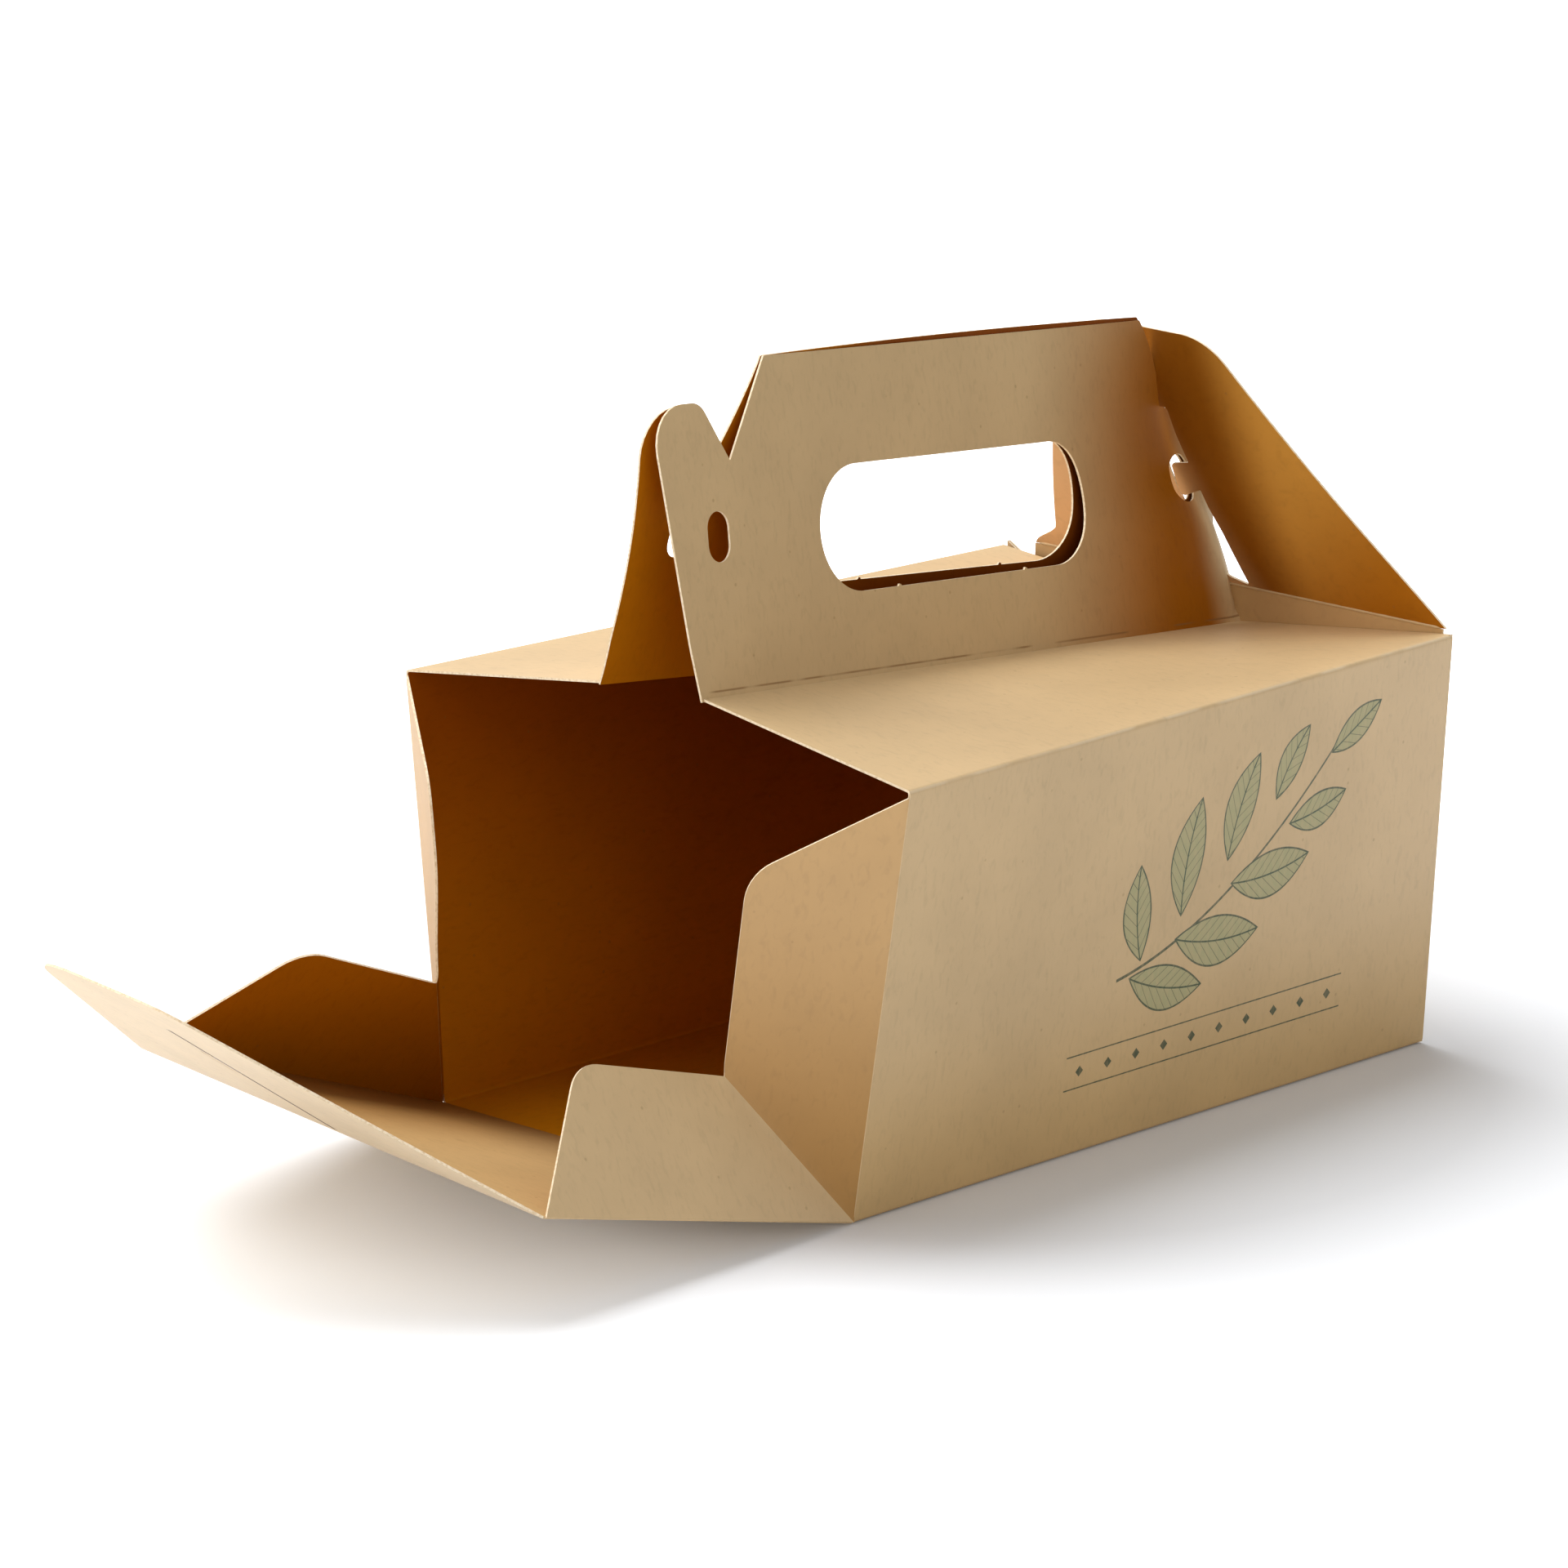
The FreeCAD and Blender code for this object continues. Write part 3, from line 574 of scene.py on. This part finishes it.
# handle panels: u along the fold, v up the panel
handle = dict(
    long=192.7, high=69.0, tilt=0.08,             # tilt: how much the panel runs on along the box as it rises
    leanFrontNear=0.199, leanFrontFar=0.214, leanBackNear=-0.2053, leanBackFar=0.2075,
    raised=0.25, raisedBy=8.0, backUp=0.42,       # the fold's bend lifts the panel; the back one is taller
    backBow=(4.4, 1.8), bowTo=150.0, bowFade=30.0, bowFlat=0.8,
    # half of the outline as (from the end of the fold, up, radius), the other half mirrors it
    outline=((-0.5, -0.5, 0.0), (-2.9, 10.5, 60.0), (-10.3, 60.8, 8.8), (6.0, 60.8, 5.0), (14.6, 48.2, 0.25),
             (28.4, 69.2, 0.6)), farEar=57.0,
    hole=(43.0, 139.3, 17.8, 44.8), holePoints=18, nicks=(69.0, 114.0), nickWide=1.1, nickHigh=0.5,
    eye=(9.0, 32.8, 7.2, 10.6),
    # how the locked end pulls the panel out of flat: shift to the back and along, at heights up it
    pullFrom=120.0, pullTo=183.0, pullAt=(0.0, 12.0, 22.0, 33.0, 48.0, 69.0),
    pullBack=(0.0, 1.0, 1.6, 3.8, 4.8, 0.6), pullIn=(0.0, 0.0, -1.6, -4.4, -1.6, -0.4),
    curlFrom=189.6, curlSlant=0.14, curlRadius=7.0, curlTurn=50.0, curlFoot=5.0, curlLow=19.0, curlHigh=30.0)


def handleLoops():
    h = handle
    near = np.array(h["outline"])
    far = near[::-1] * (-1, 1, 1) + (h["long"], 0, 0)
    far[2:4, 1] = h["farEar"]
    outline = roundCorners(np.concatenate([near, far])[::-1].tolist())
    u0, u1, v0, v1 = h["hole"]
    r, w, up = endRadius(u1 - u0, v1 - v0), h["nickWide"] / 2, h["nickHigh"]
    low = []
    for n in h["nicks"]:                          # stubs of the bridges that the die leaves
        low += [(n - w, v0, 0), (n - w * 0.5, v0 + up, 0), (n + w * 0.4, v0 + up * 0.8, 0), (n + w, v0, 0)]
    hole = roundCorners([(u0, v0, r)] + low + [(u1, v0, r), (u1, v1, r), (u0, v1, r)], h["holePoints"])
    u, v, wide, high = h["eye"]
    eyes = [pill(c - wide / 2, c + wide / 2, v - high / 2, v + high / 2) for c in (u, h["long"] - u)]
    return [outline, hole] + eyes


# A leaning plane between the two ends of the fold. Past a slanting line the panel turns back along
# an arc and runs on straight, and the locked end adds its pull, which grows smoothly along the panel.
# The back panel also bows outwards as a flattened half sine up its height.
def handlePlace(side):
    h = handle
    near, far = corner["ridge" + side + "Near"], corner["ridge" + side + "Far"]
    leanNear, leanFar = h["lean" + side + "Near"], h["lean" + side + "Far"]
    taller, (bowNear, bowFar) = (h["backUp"], h["backBow"]) if side == "Back" else (0.0, (0.0, 0.0))

    def place(u, v):
        turn = np.radians(h["curlTurn"]) * (1 - ease((v - h["curlLow"]) / (h["curlHigh"] - h["curlLow"])))
        turn = turn * ease(v / h["curlFoot"])
        start = h["curlFrom"] - h["curlSlant"] * v
        past = np.maximum(u - start, 0.0)
        bend = np.minimum(past, h["curlRadius"] * turn)
        straight = past - bend
        angle = bend / h["curlRadius"]
        run = h["curlRadius"] * np.sin(angle) + straight * np.cos(angle)
        back = h["curlRadius"] * (1 - np.cos(angle)) + straight * np.sin(angle)
        t = (np.minimum(u, start) + run) / h["long"]
        lean = leanNear + (leanFar - leanNear) * t
        rise = np.sqrt(1 - lean ** 2 - h["tilt"] ** 2)
        p = mix(near, far, t) + stack(h["tilt"] * v, lean * v, rise * v)
        pull = ease((u - h["pullFrom"]) / (h["pullTo"] - h["pullFrom"]))
        p[..., 0] += pull * through(h["pullAt"], h["pullIn"], v)
        p[..., 1] += pull * through(h["pullAt"], h["pullBack"], v) + back
        up = np.clip(v / h["high"], 0, 1)
        p[..., 2] += h["raised"] * ease(up * h["raisedBy"]) + taller * np.clip(1 - t, 0, 1) * up
        bow = bowNear + (bowFar - bowNear) * u / h["bowTo"]
        p[..., 1] -= bow * np.sin(np.pi * up) ** h["bowFlat"] * (1 - ease((u - h["bowTo"]) / h["bowFade"]))
        return p
    return place


def makeHandles():
    uv, tris = fillFlat(handleLoops(), board["grid"], board["edgeStep"])
    for side in ("Front", "Back"):
        makeSheet("handle" + side, uv, tris, handlePlace(side), [handleKraft, handleInnerShaded, cutEdge], "carton",
                  turned=side == "Back")


# open end: panel and locking flap, y across, v out from the fold
openEnd = dict(front=13.1, back=19.1,             # panel above the level, degrees, at its two corners
               flapFront=34.6, flapBack=35.2)     # its locking flap above the level


def slopeAt(y, front, back):                      # direction away from the box, at an angle above the level
    w = np.radians(front + (back - front) * (y / width + 0.5))
    return stack(-np.cos(w), 0 * w, np.sin(w))


def panelPlace(y, v):                             # straight out from the fold at the foot
    fold = stack(-blank["length"] / 2 + 0 * y, y, board["thick"] / 2 + 0 * y)
    return fold + slopeAt(y, openEnd["front"], openEnd["back"]) * v[..., None]


def lockFlapPlace(y, v):                          # straight on from the panel's free edge
    out = slopeAt(y, openEnd["flapFront"], openEnd["flapBack"])
    return panelPlace(y, 0 * v + wall) + out * v[..., None]


# locking flaps on the flat blank: outline, then a slit and its tongue, which slant to the back; the
# locked one's slit is spread by the handle, so it is given as the corners of the opening
flap = dict(
    long=66.0, lockedLong=62.7, tip=(-6.0, 34.0), round=(15.0, 22.0), roundPoints=12,
    slitFrom=2.0, slitTo=44.5, slitFoot=-1.8, slitHead=10.9, slitGap=0.5, tab=(25.8, 33.2), tabDeep=3.4,
    shadeHalf=0.75,    # half width of the line of painted shade along the cut
    slitMiddle=5.0, slitReach=12.0, slitTop=50.0,    # the part of the flap that holds the slit
    opened=((-0.9, 0.7, 0.5), (1.8, 13.9, 0), (3.8, 20.3, 0), (4.6, 24.4, 0.3), (11.2, 21.6, 1.2),
            (11.4, 29.9, 1.2), (5.9, 31.0, 0.3), (7.6, 38.0, 0), (8.5, 44.2, 1.1), (11.3, 43.9, 1.2),
            (12.2, 36.0, 0), (12.2, 28.0, 3), (9.6, 14.5, 4), (5.4, 2.2, 2.6)))


def panelLoop():
    return np.array([(-half, 0), (half, 0), (half, wall), (-half, wall)])


def panelFold(y, v):                              # all four edges of an end panel are folds
    return onLine(v) | onLine(v, wall) | onLine(abs(y), half)


def flapOutline(long):
    (front, back), (frontRound, backRound) = flap["tip"], flap["round"]
    return roundCorners([(-half, 0, 0), (half, 0, 0), (back, long, backRound), (front, long, frontRound)],
                        flap["roundPoints"])


def slitLoop():                                   # the cut, then round the tongue to its side, then slanted
    g, d, (a, b) = flap["slitGap"] / 2, flap["tabDeep"], flap["tab"]
    low, high = flap["slitFrom"], flap["slitTo"]
    ring = np.array([(-g, low), (g, low), (g, a - 2 * g), (d, a - 2 * g), (d, b + 2 * g), (g, b + 2 * g),
                     (g, high), (-g, high), (-g, b), (d - 2 * g, b), (d - 2 * g, a), (-g, a)])
    ring[:, 0] += flap["slitFoot"] + (flap["slitHead"] - flap["slitFoot"]) * ring[:, 1] / high
    return ring


# the open end's flap outside is painted light, paler than the board, with a line of painted shade along its
# slit
flapKraft = kraftMaterial("flapKraft", "pale", outerBump, slit=(
    flap["slitFoot"], flap["slitHead"], flap["slitFrom"], flap["slitTo"], flap["shadeHalf"]))


# the rim along the fold and round the slit is covered like the outer face
def flapFold(y, v):
    return onLine(v) | ((abs(y - flap["slitMiddle"]) < flap["slitReach"]) & (v < flap["slitTop"]))


def makeOpenEnd():
    uv, tris = fillFlat([panelLoop()], board["flatGrid"], board["flatStep"])
    makeSheet("endPanelSheet", uv, tris, panelPlace, [outerKraft, panelInner, cutEdge], "end_panel",
              panelFold, turned=True)
    uv, tris = fillFlat([flapOutline(flap["long"]), slitLoop()], board["grid"], board["edgeStep"])
    makeSheet("lockFlapSheet", uv, tris, lockFlapPlace, [flapKraft, panelInner, cutEdge], "lock_flap",
              flapFold, turned=True)


# gussets of the open end: u up the side fold, v across, cut along the 45 degree diagonal; the values
# are how far each web and its diagonal reach across, the back pair a little wider
gusset = dict(
    run=74.8, tips=0.5, round=10.0, foldRadius=2.0, grid=2.5, edgeStep=1.5, foldedStep=2.0,
    wallFront=31.0, endFront=32.5, diagonalFront=30.7,
    wallBack=32.6, endBack=34.0, diagonalBack=32.3,
    folded=32.0, diagonalFolded=31.0,
    # the back web is pulled in, as a share of its reach: all of it on the wall, little of it at the
    # diagonal, none out on the end panel, where it has to fold flat
    backPull=(0.010, -0.054, 0.012), pullDiagonal=0.15, pullFade=20.0)


def gussetLoop(reach, diagonal):
    return roundCorners([(0, 0, 0), (wall - gusset["tips"], 0, 0),
                         (gusset["run"], reach, gusset["round"]), (diagonal, diagonal, 0)])


# the two side folds and the diagonal: it makes 45 degrees with both folds and bends into the box
def gussetFolds(sign):
    foot = corner["footFrontNear"] if sign < 0 else corner["footBackNear"]
    top = corner["topFrontNear"] if sign < 0 else corner["topBackNear"]
    wallEdge = unit(top - foot)
    panelEdge = slopeAt(np.array(sign * half), openEnd["front"], openEnd["back"])
    rise = math.cos(math.pi / 4) / math.cos(math.acos(float(wallEdge @ panelEdge)) / 2)
    inner = unit(np.cross(wallEdge, panelEdge)) * sign
    return foot, wallEdge, panelEdge, unit(wallEdge + panelEdge) * rise + inner * math.sqrt(1 - rise * rise)


# One half of a gusset: its plane, eased into the other half's along the diagonal, where both halves
# move towards the line midway between them by a share of (r - away)^2 / 2r.
def webPlace(sign, onPanel):
    foot, wallEdge, panelEdge, fold = gussetFolds(sign)
    edge, other = (panelEdge, wallEdge) if onPanel else (wallEdge, panelEdge)
    across = fold * math.sqrt(2) - edge
    off, offOther = unit(edge - fold * (edge @ fold)), unit(other - fold * (other @ fold))
    bisect = unit(off + offOther)
    pull = np.array(gusset["backPull"]) * (sign > 0)
    atFold, atFree = gusset["pullDiagonal"], 0.0 if onPanel else 1.0
    r = gusset["foldRadius"]

    def place(u, v):
        p = foot + np.multiply.outer(u, edge) + np.multiply.outer(v, across)
        away = np.clip((u - v) / math.sqrt(2), 0, None)
        share = atFold + (atFree - atFold) * ease(away / gusset["pullFade"])
        p = p + np.multiply.outer(v * share * math.sqrt(2), pull)
        return p + np.multiply.outer((off @ bisect) * np.clip(r - away, 0, None) ** 2 / (2 * r), bisect)
    return place


def makeGussets():
    for part, kraftSide in (("wall", webKraft), ("end", outerKraft)):
        for side, sign in (("Front", -1), ("Back", 1)):
            loop = gussetLoop(gusset[part + side], gusset["diagonal" + side])
            uv, tris = fillFlat([loop], gusset["grid"], gusset["edgeStep"])
            place = webPlace(sign, part == "end")
            u, v = np.array([40.0]), np.array([10.0])     # any point of the web shows which way it faces
            facing = np.cross(place(u + 1, v) - place(u, v), place(u, v + 1) - place(u, v))[0][1] * sign > 0
            makeSheet(part + "Gusset" + side, uv, tris, place, [kraftSide, webInnerShaded, cutEdge],
                      part + "_gusset_" + side.lower(), onFold=lambda a, b: onLine(b) | onLine(a, b),
                      turned=not facing)


# locked end: panel upright, flap drawn over the handle, gussets folded flat behind the panel
locked = dict(
    panelLean=1.2, foldX=97.0, foldZ=94.5, ply=0.62, steps=12,
    # degrees that the flap leans in: at its fold, more per half width, less at its corners, then what it
    # loses towards its free edge, and the same per half width
    inward=24.5, inwardFan=0.3, inwardCorners=3.9, curl=14.4, curlFan=3.7,
    slant=7.0, slantFan=6.7, slantLost=3.65,      # degrees that it slants to the back
    shift=-3.8, squeeze=0.95,                     # where it starts along the fold
    cornerFrom=15.0, cornerOver=40.0, flare=6.0,  # the back corner stays on the fold over the first few mm
    hollow=1.2, hollowOver=70.0, hollowFan=1.5)   # its front edge is drawn in as a half sine up the flap


def lockedPanelPlace(y, v):
    w = math.radians(locked["panelLean"])
    return stack(blank["length"] / 2 + v * math.sin(w), y, board["thick"] / 2 + v * math.cos(w))


# The flap leans in by an angle that eases towards its free edge and is less at its corners, and slants
# to the back. The direction that the two angles give is summed along the flap.
def lockedFlapPlace(y, v):
    k = locked
    t, total = y / half, 0.0
    for step in range(k["steps"]):
        f = (step + 0.5) / k["steps"] * v / flap["long"]
        a = np.radians(k["inward"] + k["inwardFan"] * t - k["inwardCorners"] * t * t
                       - (k["curl"] + k["curlFan"] * t) * f)
        g = np.radians(k["slant"] + k["slantFan"] * t - k["slantLost"] * f)
        total = total + stack(-np.sin(a) * np.cos(g), np.sin(g), np.cos(a) * np.cos(g)) / k["steps"]
    start = k["shift"] + k["squeeze"] * y
    start = start + (y - start) * ease((y - k["cornerFrom"]) / k["cornerOver"]) * (1 - ease(v / k["flare"]))
    up = np.sin(np.pi * np.clip(v / k["hollowOver"], 0, 1))
    start = start + k["hollow"] * up * np.clip(-t * k["hollowFan"], 0, 1)
    return stack(k["foldX"] + 0 * y, start, k["foldZ"] + 0 * y) + total * v[..., None]


# a gusset half folded flat: its outer edge follows the wall's far edge
def lockedGussetPlace(side, sign, ply):
    w = math.radians(locked["panelLean"])
    foot, top = (corner[k + side + "Far"][1] for k in ("foot", "top"))

    def place(u, v):
        return stack(blank["length"] / 2 - locked["ply"] * ply + u * math.sin(w),
                     foot + (top - foot) * u / wall - sign * v, board["thick"] / 2 + u * math.cos(w))
    return place


def makeLockedEnd():
    uv, tris = fillFlat([panelLoop()], board["flatGrid"], board["flatStep"])
    makeSheet("lockedEndPanel", uv, tris, lockedPanelPlace, [outerKraft, plyKraft, cutEdge], "carton",
              panelFold)
    uv, tris = fillFlat([flapOutline(flap["lockedLong"]), roundCorners(flap["opened"])], board["grid"],
                        board["edgeStep"])
    makeSheet("lockedFlap", uv, tris, lockedFlapPlace, [outerKraft, lockedInner, cutEdge], "carton",
              onFold=lambda y, v: onLine(v))
    loop = gussetLoop(gusset["folded"], gusset["diagonalFolded"])
    uv, tris = fillFlat([loop], board["flatGrid"], gusset["foldedStep"])
    for side, sign in (("Front", -1), ("Back", 1)):
        for ply in (1, 2):
            makeSheet("lockedGusset%s%d" % (side, ply), uv, tris, lockedGussetPlace(side, sign, ply),
                      [plyKraft, plyKraft, cutEdge], "carton", turned=(sign > 0) == (ply == 1))


# creases: the rounded bead of squeezed board along each fold
crease = dict(
    radius=0.235, sides=8, step=2.0, rope=0.42,   # rope: the rolled fold of the locked flap
    wobble=0.05, waves=(1.7, 0.83), capShare=0.02,
    thinShare=0.6, webShare=0.9,                  # of the radius, at the back wall and along the gussets
    crossed=(0.31, 0.57, 0.76),    # a direction that no fold runs along
    inset=0.5, foot=0.6, ropeShift=(-0.1, 0.6), webSpan=(1.0, 30.0))    # how far each stops short or shifts


# a tube carried along a straight fold; its radius wavers along it as the sum of two sines, and its
# last ring shrinks onto the line before a cap closes it
def creaseTube(a, b, radius):
    a, b = np.asarray(a, float), np.asarray(b, float)
    count = max(4, int(np.linalg.norm(b - a) / crease["step"])) + 1
    along = np.linspace(0, 1, count)
    way = unit(b - a)
    side = unit(np.cross(way, crease["crossed"]))
    up = np.cross(way, side)
    w = np.linspace(0, 2 * np.pi, crease["sides"], endpoint=False)
    d = np.linalg.norm(b - a) * along
    long, short = crease["waves"]
    size = radius * (1 + crease["wobble"] * (np.sin(long * d) + np.sin(short * d + 1.0)))
    size[[0, -1]] = radius * crease["capShare"]
    ring = np.multiply.outer(np.cos(w), side) + np.multiply.outer(np.sin(w), up)
    co = mix(a, b, along)[:, None] + size[:, None, None] * ring[None]
    n = crease["sides"]
    i = (np.arange(count - 1)[:, None] * n + np.arange(n)[None]).ravel()
    j = (np.arange(count - 1)[:, None] * n + (np.arange(n)[None] + 1) % n).ravel()
    return co.reshape(-1, 3), np.stack([i, i + n, j + n, j], axis=1)


def makeCreases(name, lines, body):
    co, quads, caps, first, n = [], [], [], 0, crease["sides"]
    for a, b, radius in lines:
        points, faces = creaseTube(a, b, radius)
        co.append(points)
        quads += (faces + first).tolist()
        last = first + len(points)
        caps += [list(range(first, first + n)), list(range(last - n, last))[::-1]]
        first = last
    polygons = quads + caps
    addMesh(name, np.concatenate(co), polygons, [creaseKraft], np.zeros(len(polygons), int), body)


def makeAllCreases():
    r, c = crease["radius"], corner
    ends, high, low = np.array((-half, half)), np.array(wall), np.array(crease["foot"])
    inset, (ropeX, ropeY) = np.array((0, crease["inset"], 0)), crease["ropeShift"]
    far = [lockedFlapPlace(y, np.array(0.0)) for y in ends]
    makeCreases("cartonCreases", [
        (c["footFrontNear"], c["topFrontNear"], r),
        (c["footBackNear"], c["topBackNear"], r * crease["thinShare"]),
        (c["footFrontNear"] + inset, c["footBackNear"] - inset, r),
        (far[0] + (ropeX, ropeY, 0), far[1] + (ropeX, -ropeY, 0), crease["rope"]),
        (c["footFrontFar"], c["footBackFar"], r)], "carton")
    edge, feet = [panelPlace(y, high) for y in ends], [panelPlace(y, low) for y in ends]
    makeCreases("endPanelCreases", [(edge[0], edge[1], r), (feet[0], edge[0], r), (feet[1], edge[1], r)],
                "end_panel")
    for side, sign in (("Front", -1), ("Back", 1)):
        a, b = (webPlace(sign, False)(t, t) for t in np.array(crease["webSpan"]))
        makeCreases("gussetCrease" + side, [(a, b, r * crease["webShare"])], "wall_gusset_" + side.lower())


makeWrap()
makeHandles()
makeOpenEnd()
makeGussets()
makeLockedEnd()
makeAllCreases()
print("board pieces made")

# the pieces that stand in for a CAD node, whose own mesh is hidden
standIns = dict(cartonSheet="carton_body", endPanelSheet="end_panel", lockFlapSheet="lock_flap",
                wallGussetFront="wall_gusset_front", wallGussetBack="wall_gusset_back",
                endGussetFront="end_gusset_front", endGussetBack="end_gusset_back")
for piece, node in standIns.items():
    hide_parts(node)


# camera: degrees round from the front and above the level, roll, and its place in metres
view = dict(azimuth=-47.881, elevation=14.470, roll=1.0625, lens=183.729, sensor=36.0, clip=0.05,
            at=(-1.27115, -1.10138, 0.49861))


def makeCamera():
    a, e, r = (math.radians(view[k]) for k in ("azimuth", "elevation", "roll"))
    back = Vector((math.sin(a) * math.cos(e), -math.cos(a) * math.cos(e), math.sin(e)))
    right = Vector((math.cos(a), math.sin(a), 0))
    up = back.cross(right)
    x = right * math.cos(r) + up * math.sin(r)
    y = up * math.cos(r) - right * math.sin(r)
    data = bpy.data.cameras.new("viewCamera")
    data.lens = view["lens"]
    data.sensor_width = view["sensor"]
    data.clip_start = view["clip"]
    cam = bpy.data.objects.new("viewCamera", data)
    cam.matrix_world = Matrix((x, y, back)).transposed().to_4x4()
    cam.location = view["at"]
    bpy.context.scene.collection.objects.link(cam)
    bpy.context.scene.camera = cam


# a dim white sky and three lamps given as (name, direction, distance, size, watts) light the box; the
# floor turns from paper to plain white between two distances from the middle, in metres
studio = dict(
    white=(1.0, 1.0, 1.0, 1.0), sky=0.30, floorHalf=6.0, floorLevel=-0.0002,
    floorTone=(0.88, 0.90, 0.935, 1.0), floorLift=0.02, whiteFrom=0.12, whiteTo=0.36,
    lamps=(("key", (-0.06, 0.44, 0.88), 1.6, 1.4, 28.0), ("fill", (-0.42, -0.86, 0.24), 2.0, 1.2, 7.4),
           ("side", (-0.95, 0.2, 0.14), 1.5, 0.9, 9.0)))


def seenDirectly(tree):
    path = put(tree, "LightPath").outputs
    return calc(tree, "MAXIMUM", path["Is Camera Ray"], path["Is Glossy Ray"])


def makeFloor():
    h, z = studio["floorHalf"], studio["floorLevel"]
    mesh = bpy.data.meshes.new("floor")
    mesh.from_pydata([(-h, -h, z), (h, -h, z), (h, h, z), (-h, h, z)], [], [(0, 1, 2, 3)])
    floor = bpy.data.objects.new("floor", mesh)
    bpy.context.scene.collection.objects.link(floor)
    mat, tree = newMaterial("floorPaper")
    where = put(tree, "TexCoord").outputs["Object"]
    far = put(tree, "VectorMath", dict(operation="LENGTH"), i0=where).outputs["Value"]
    lift = ramp(tree, far, studio["whiteFrom"], studio["whiteTo"], studio["floorLift"], 1.0)
    lift = times(tree, lift, seenDirectly(tree))
    paper = put(tree, "BsdfDiffuse", Color=studio["floorTone"]).outputs[0]
    glow = put(tree, "Emission", Color=studio["white"], Strength=lift).outputs[0]
    both = put(tree, "AddShader", i0=paper, i1=glow).outputs[0]
    put(tree, "OutputMaterial", Surface=both)
    mesh.materials.append(mat)


def makeLight():
    world = bpy.data.worlds.new("studio")
    bpy.context.scene.world = world
    world.use_nodes = True
    tree = world.node_tree
    tree.nodes.clear()
    sky = put(tree, "Background", Color=studio["white"], Strength=studio["sky"]).outputs[0]
    behind = put(tree, "Background", Color=studio["white"], Strength=1.0).outputs[0]
    pick = put(tree, "MixShader", i0=seenDirectly(tree), i1=sky, i2=behind).outputs[0]
    put(tree, "OutputWorld", Surface=pick)
    for name, way, far, size, power in studio["lamps"]:
        lamp = bpy.data.lights.new(name, "AREA")
        lamp.shape = "SQUARE"
        lamp.size = size
        lamp.energy = power
        made = bpy.data.objects.new(name, lamp)
        made.location = Vector(way).normalized() * far
        made.rotation_euler = made.location.to_track_quat("Z", "Y").to_euler()
        bpy.context.scene.collection.objects.link(made)


makeCamera()
makeFloor()
makeLight()
bpy.context.scene.view_settings.view_transform = "Standard"
print("camera, floor and light made")
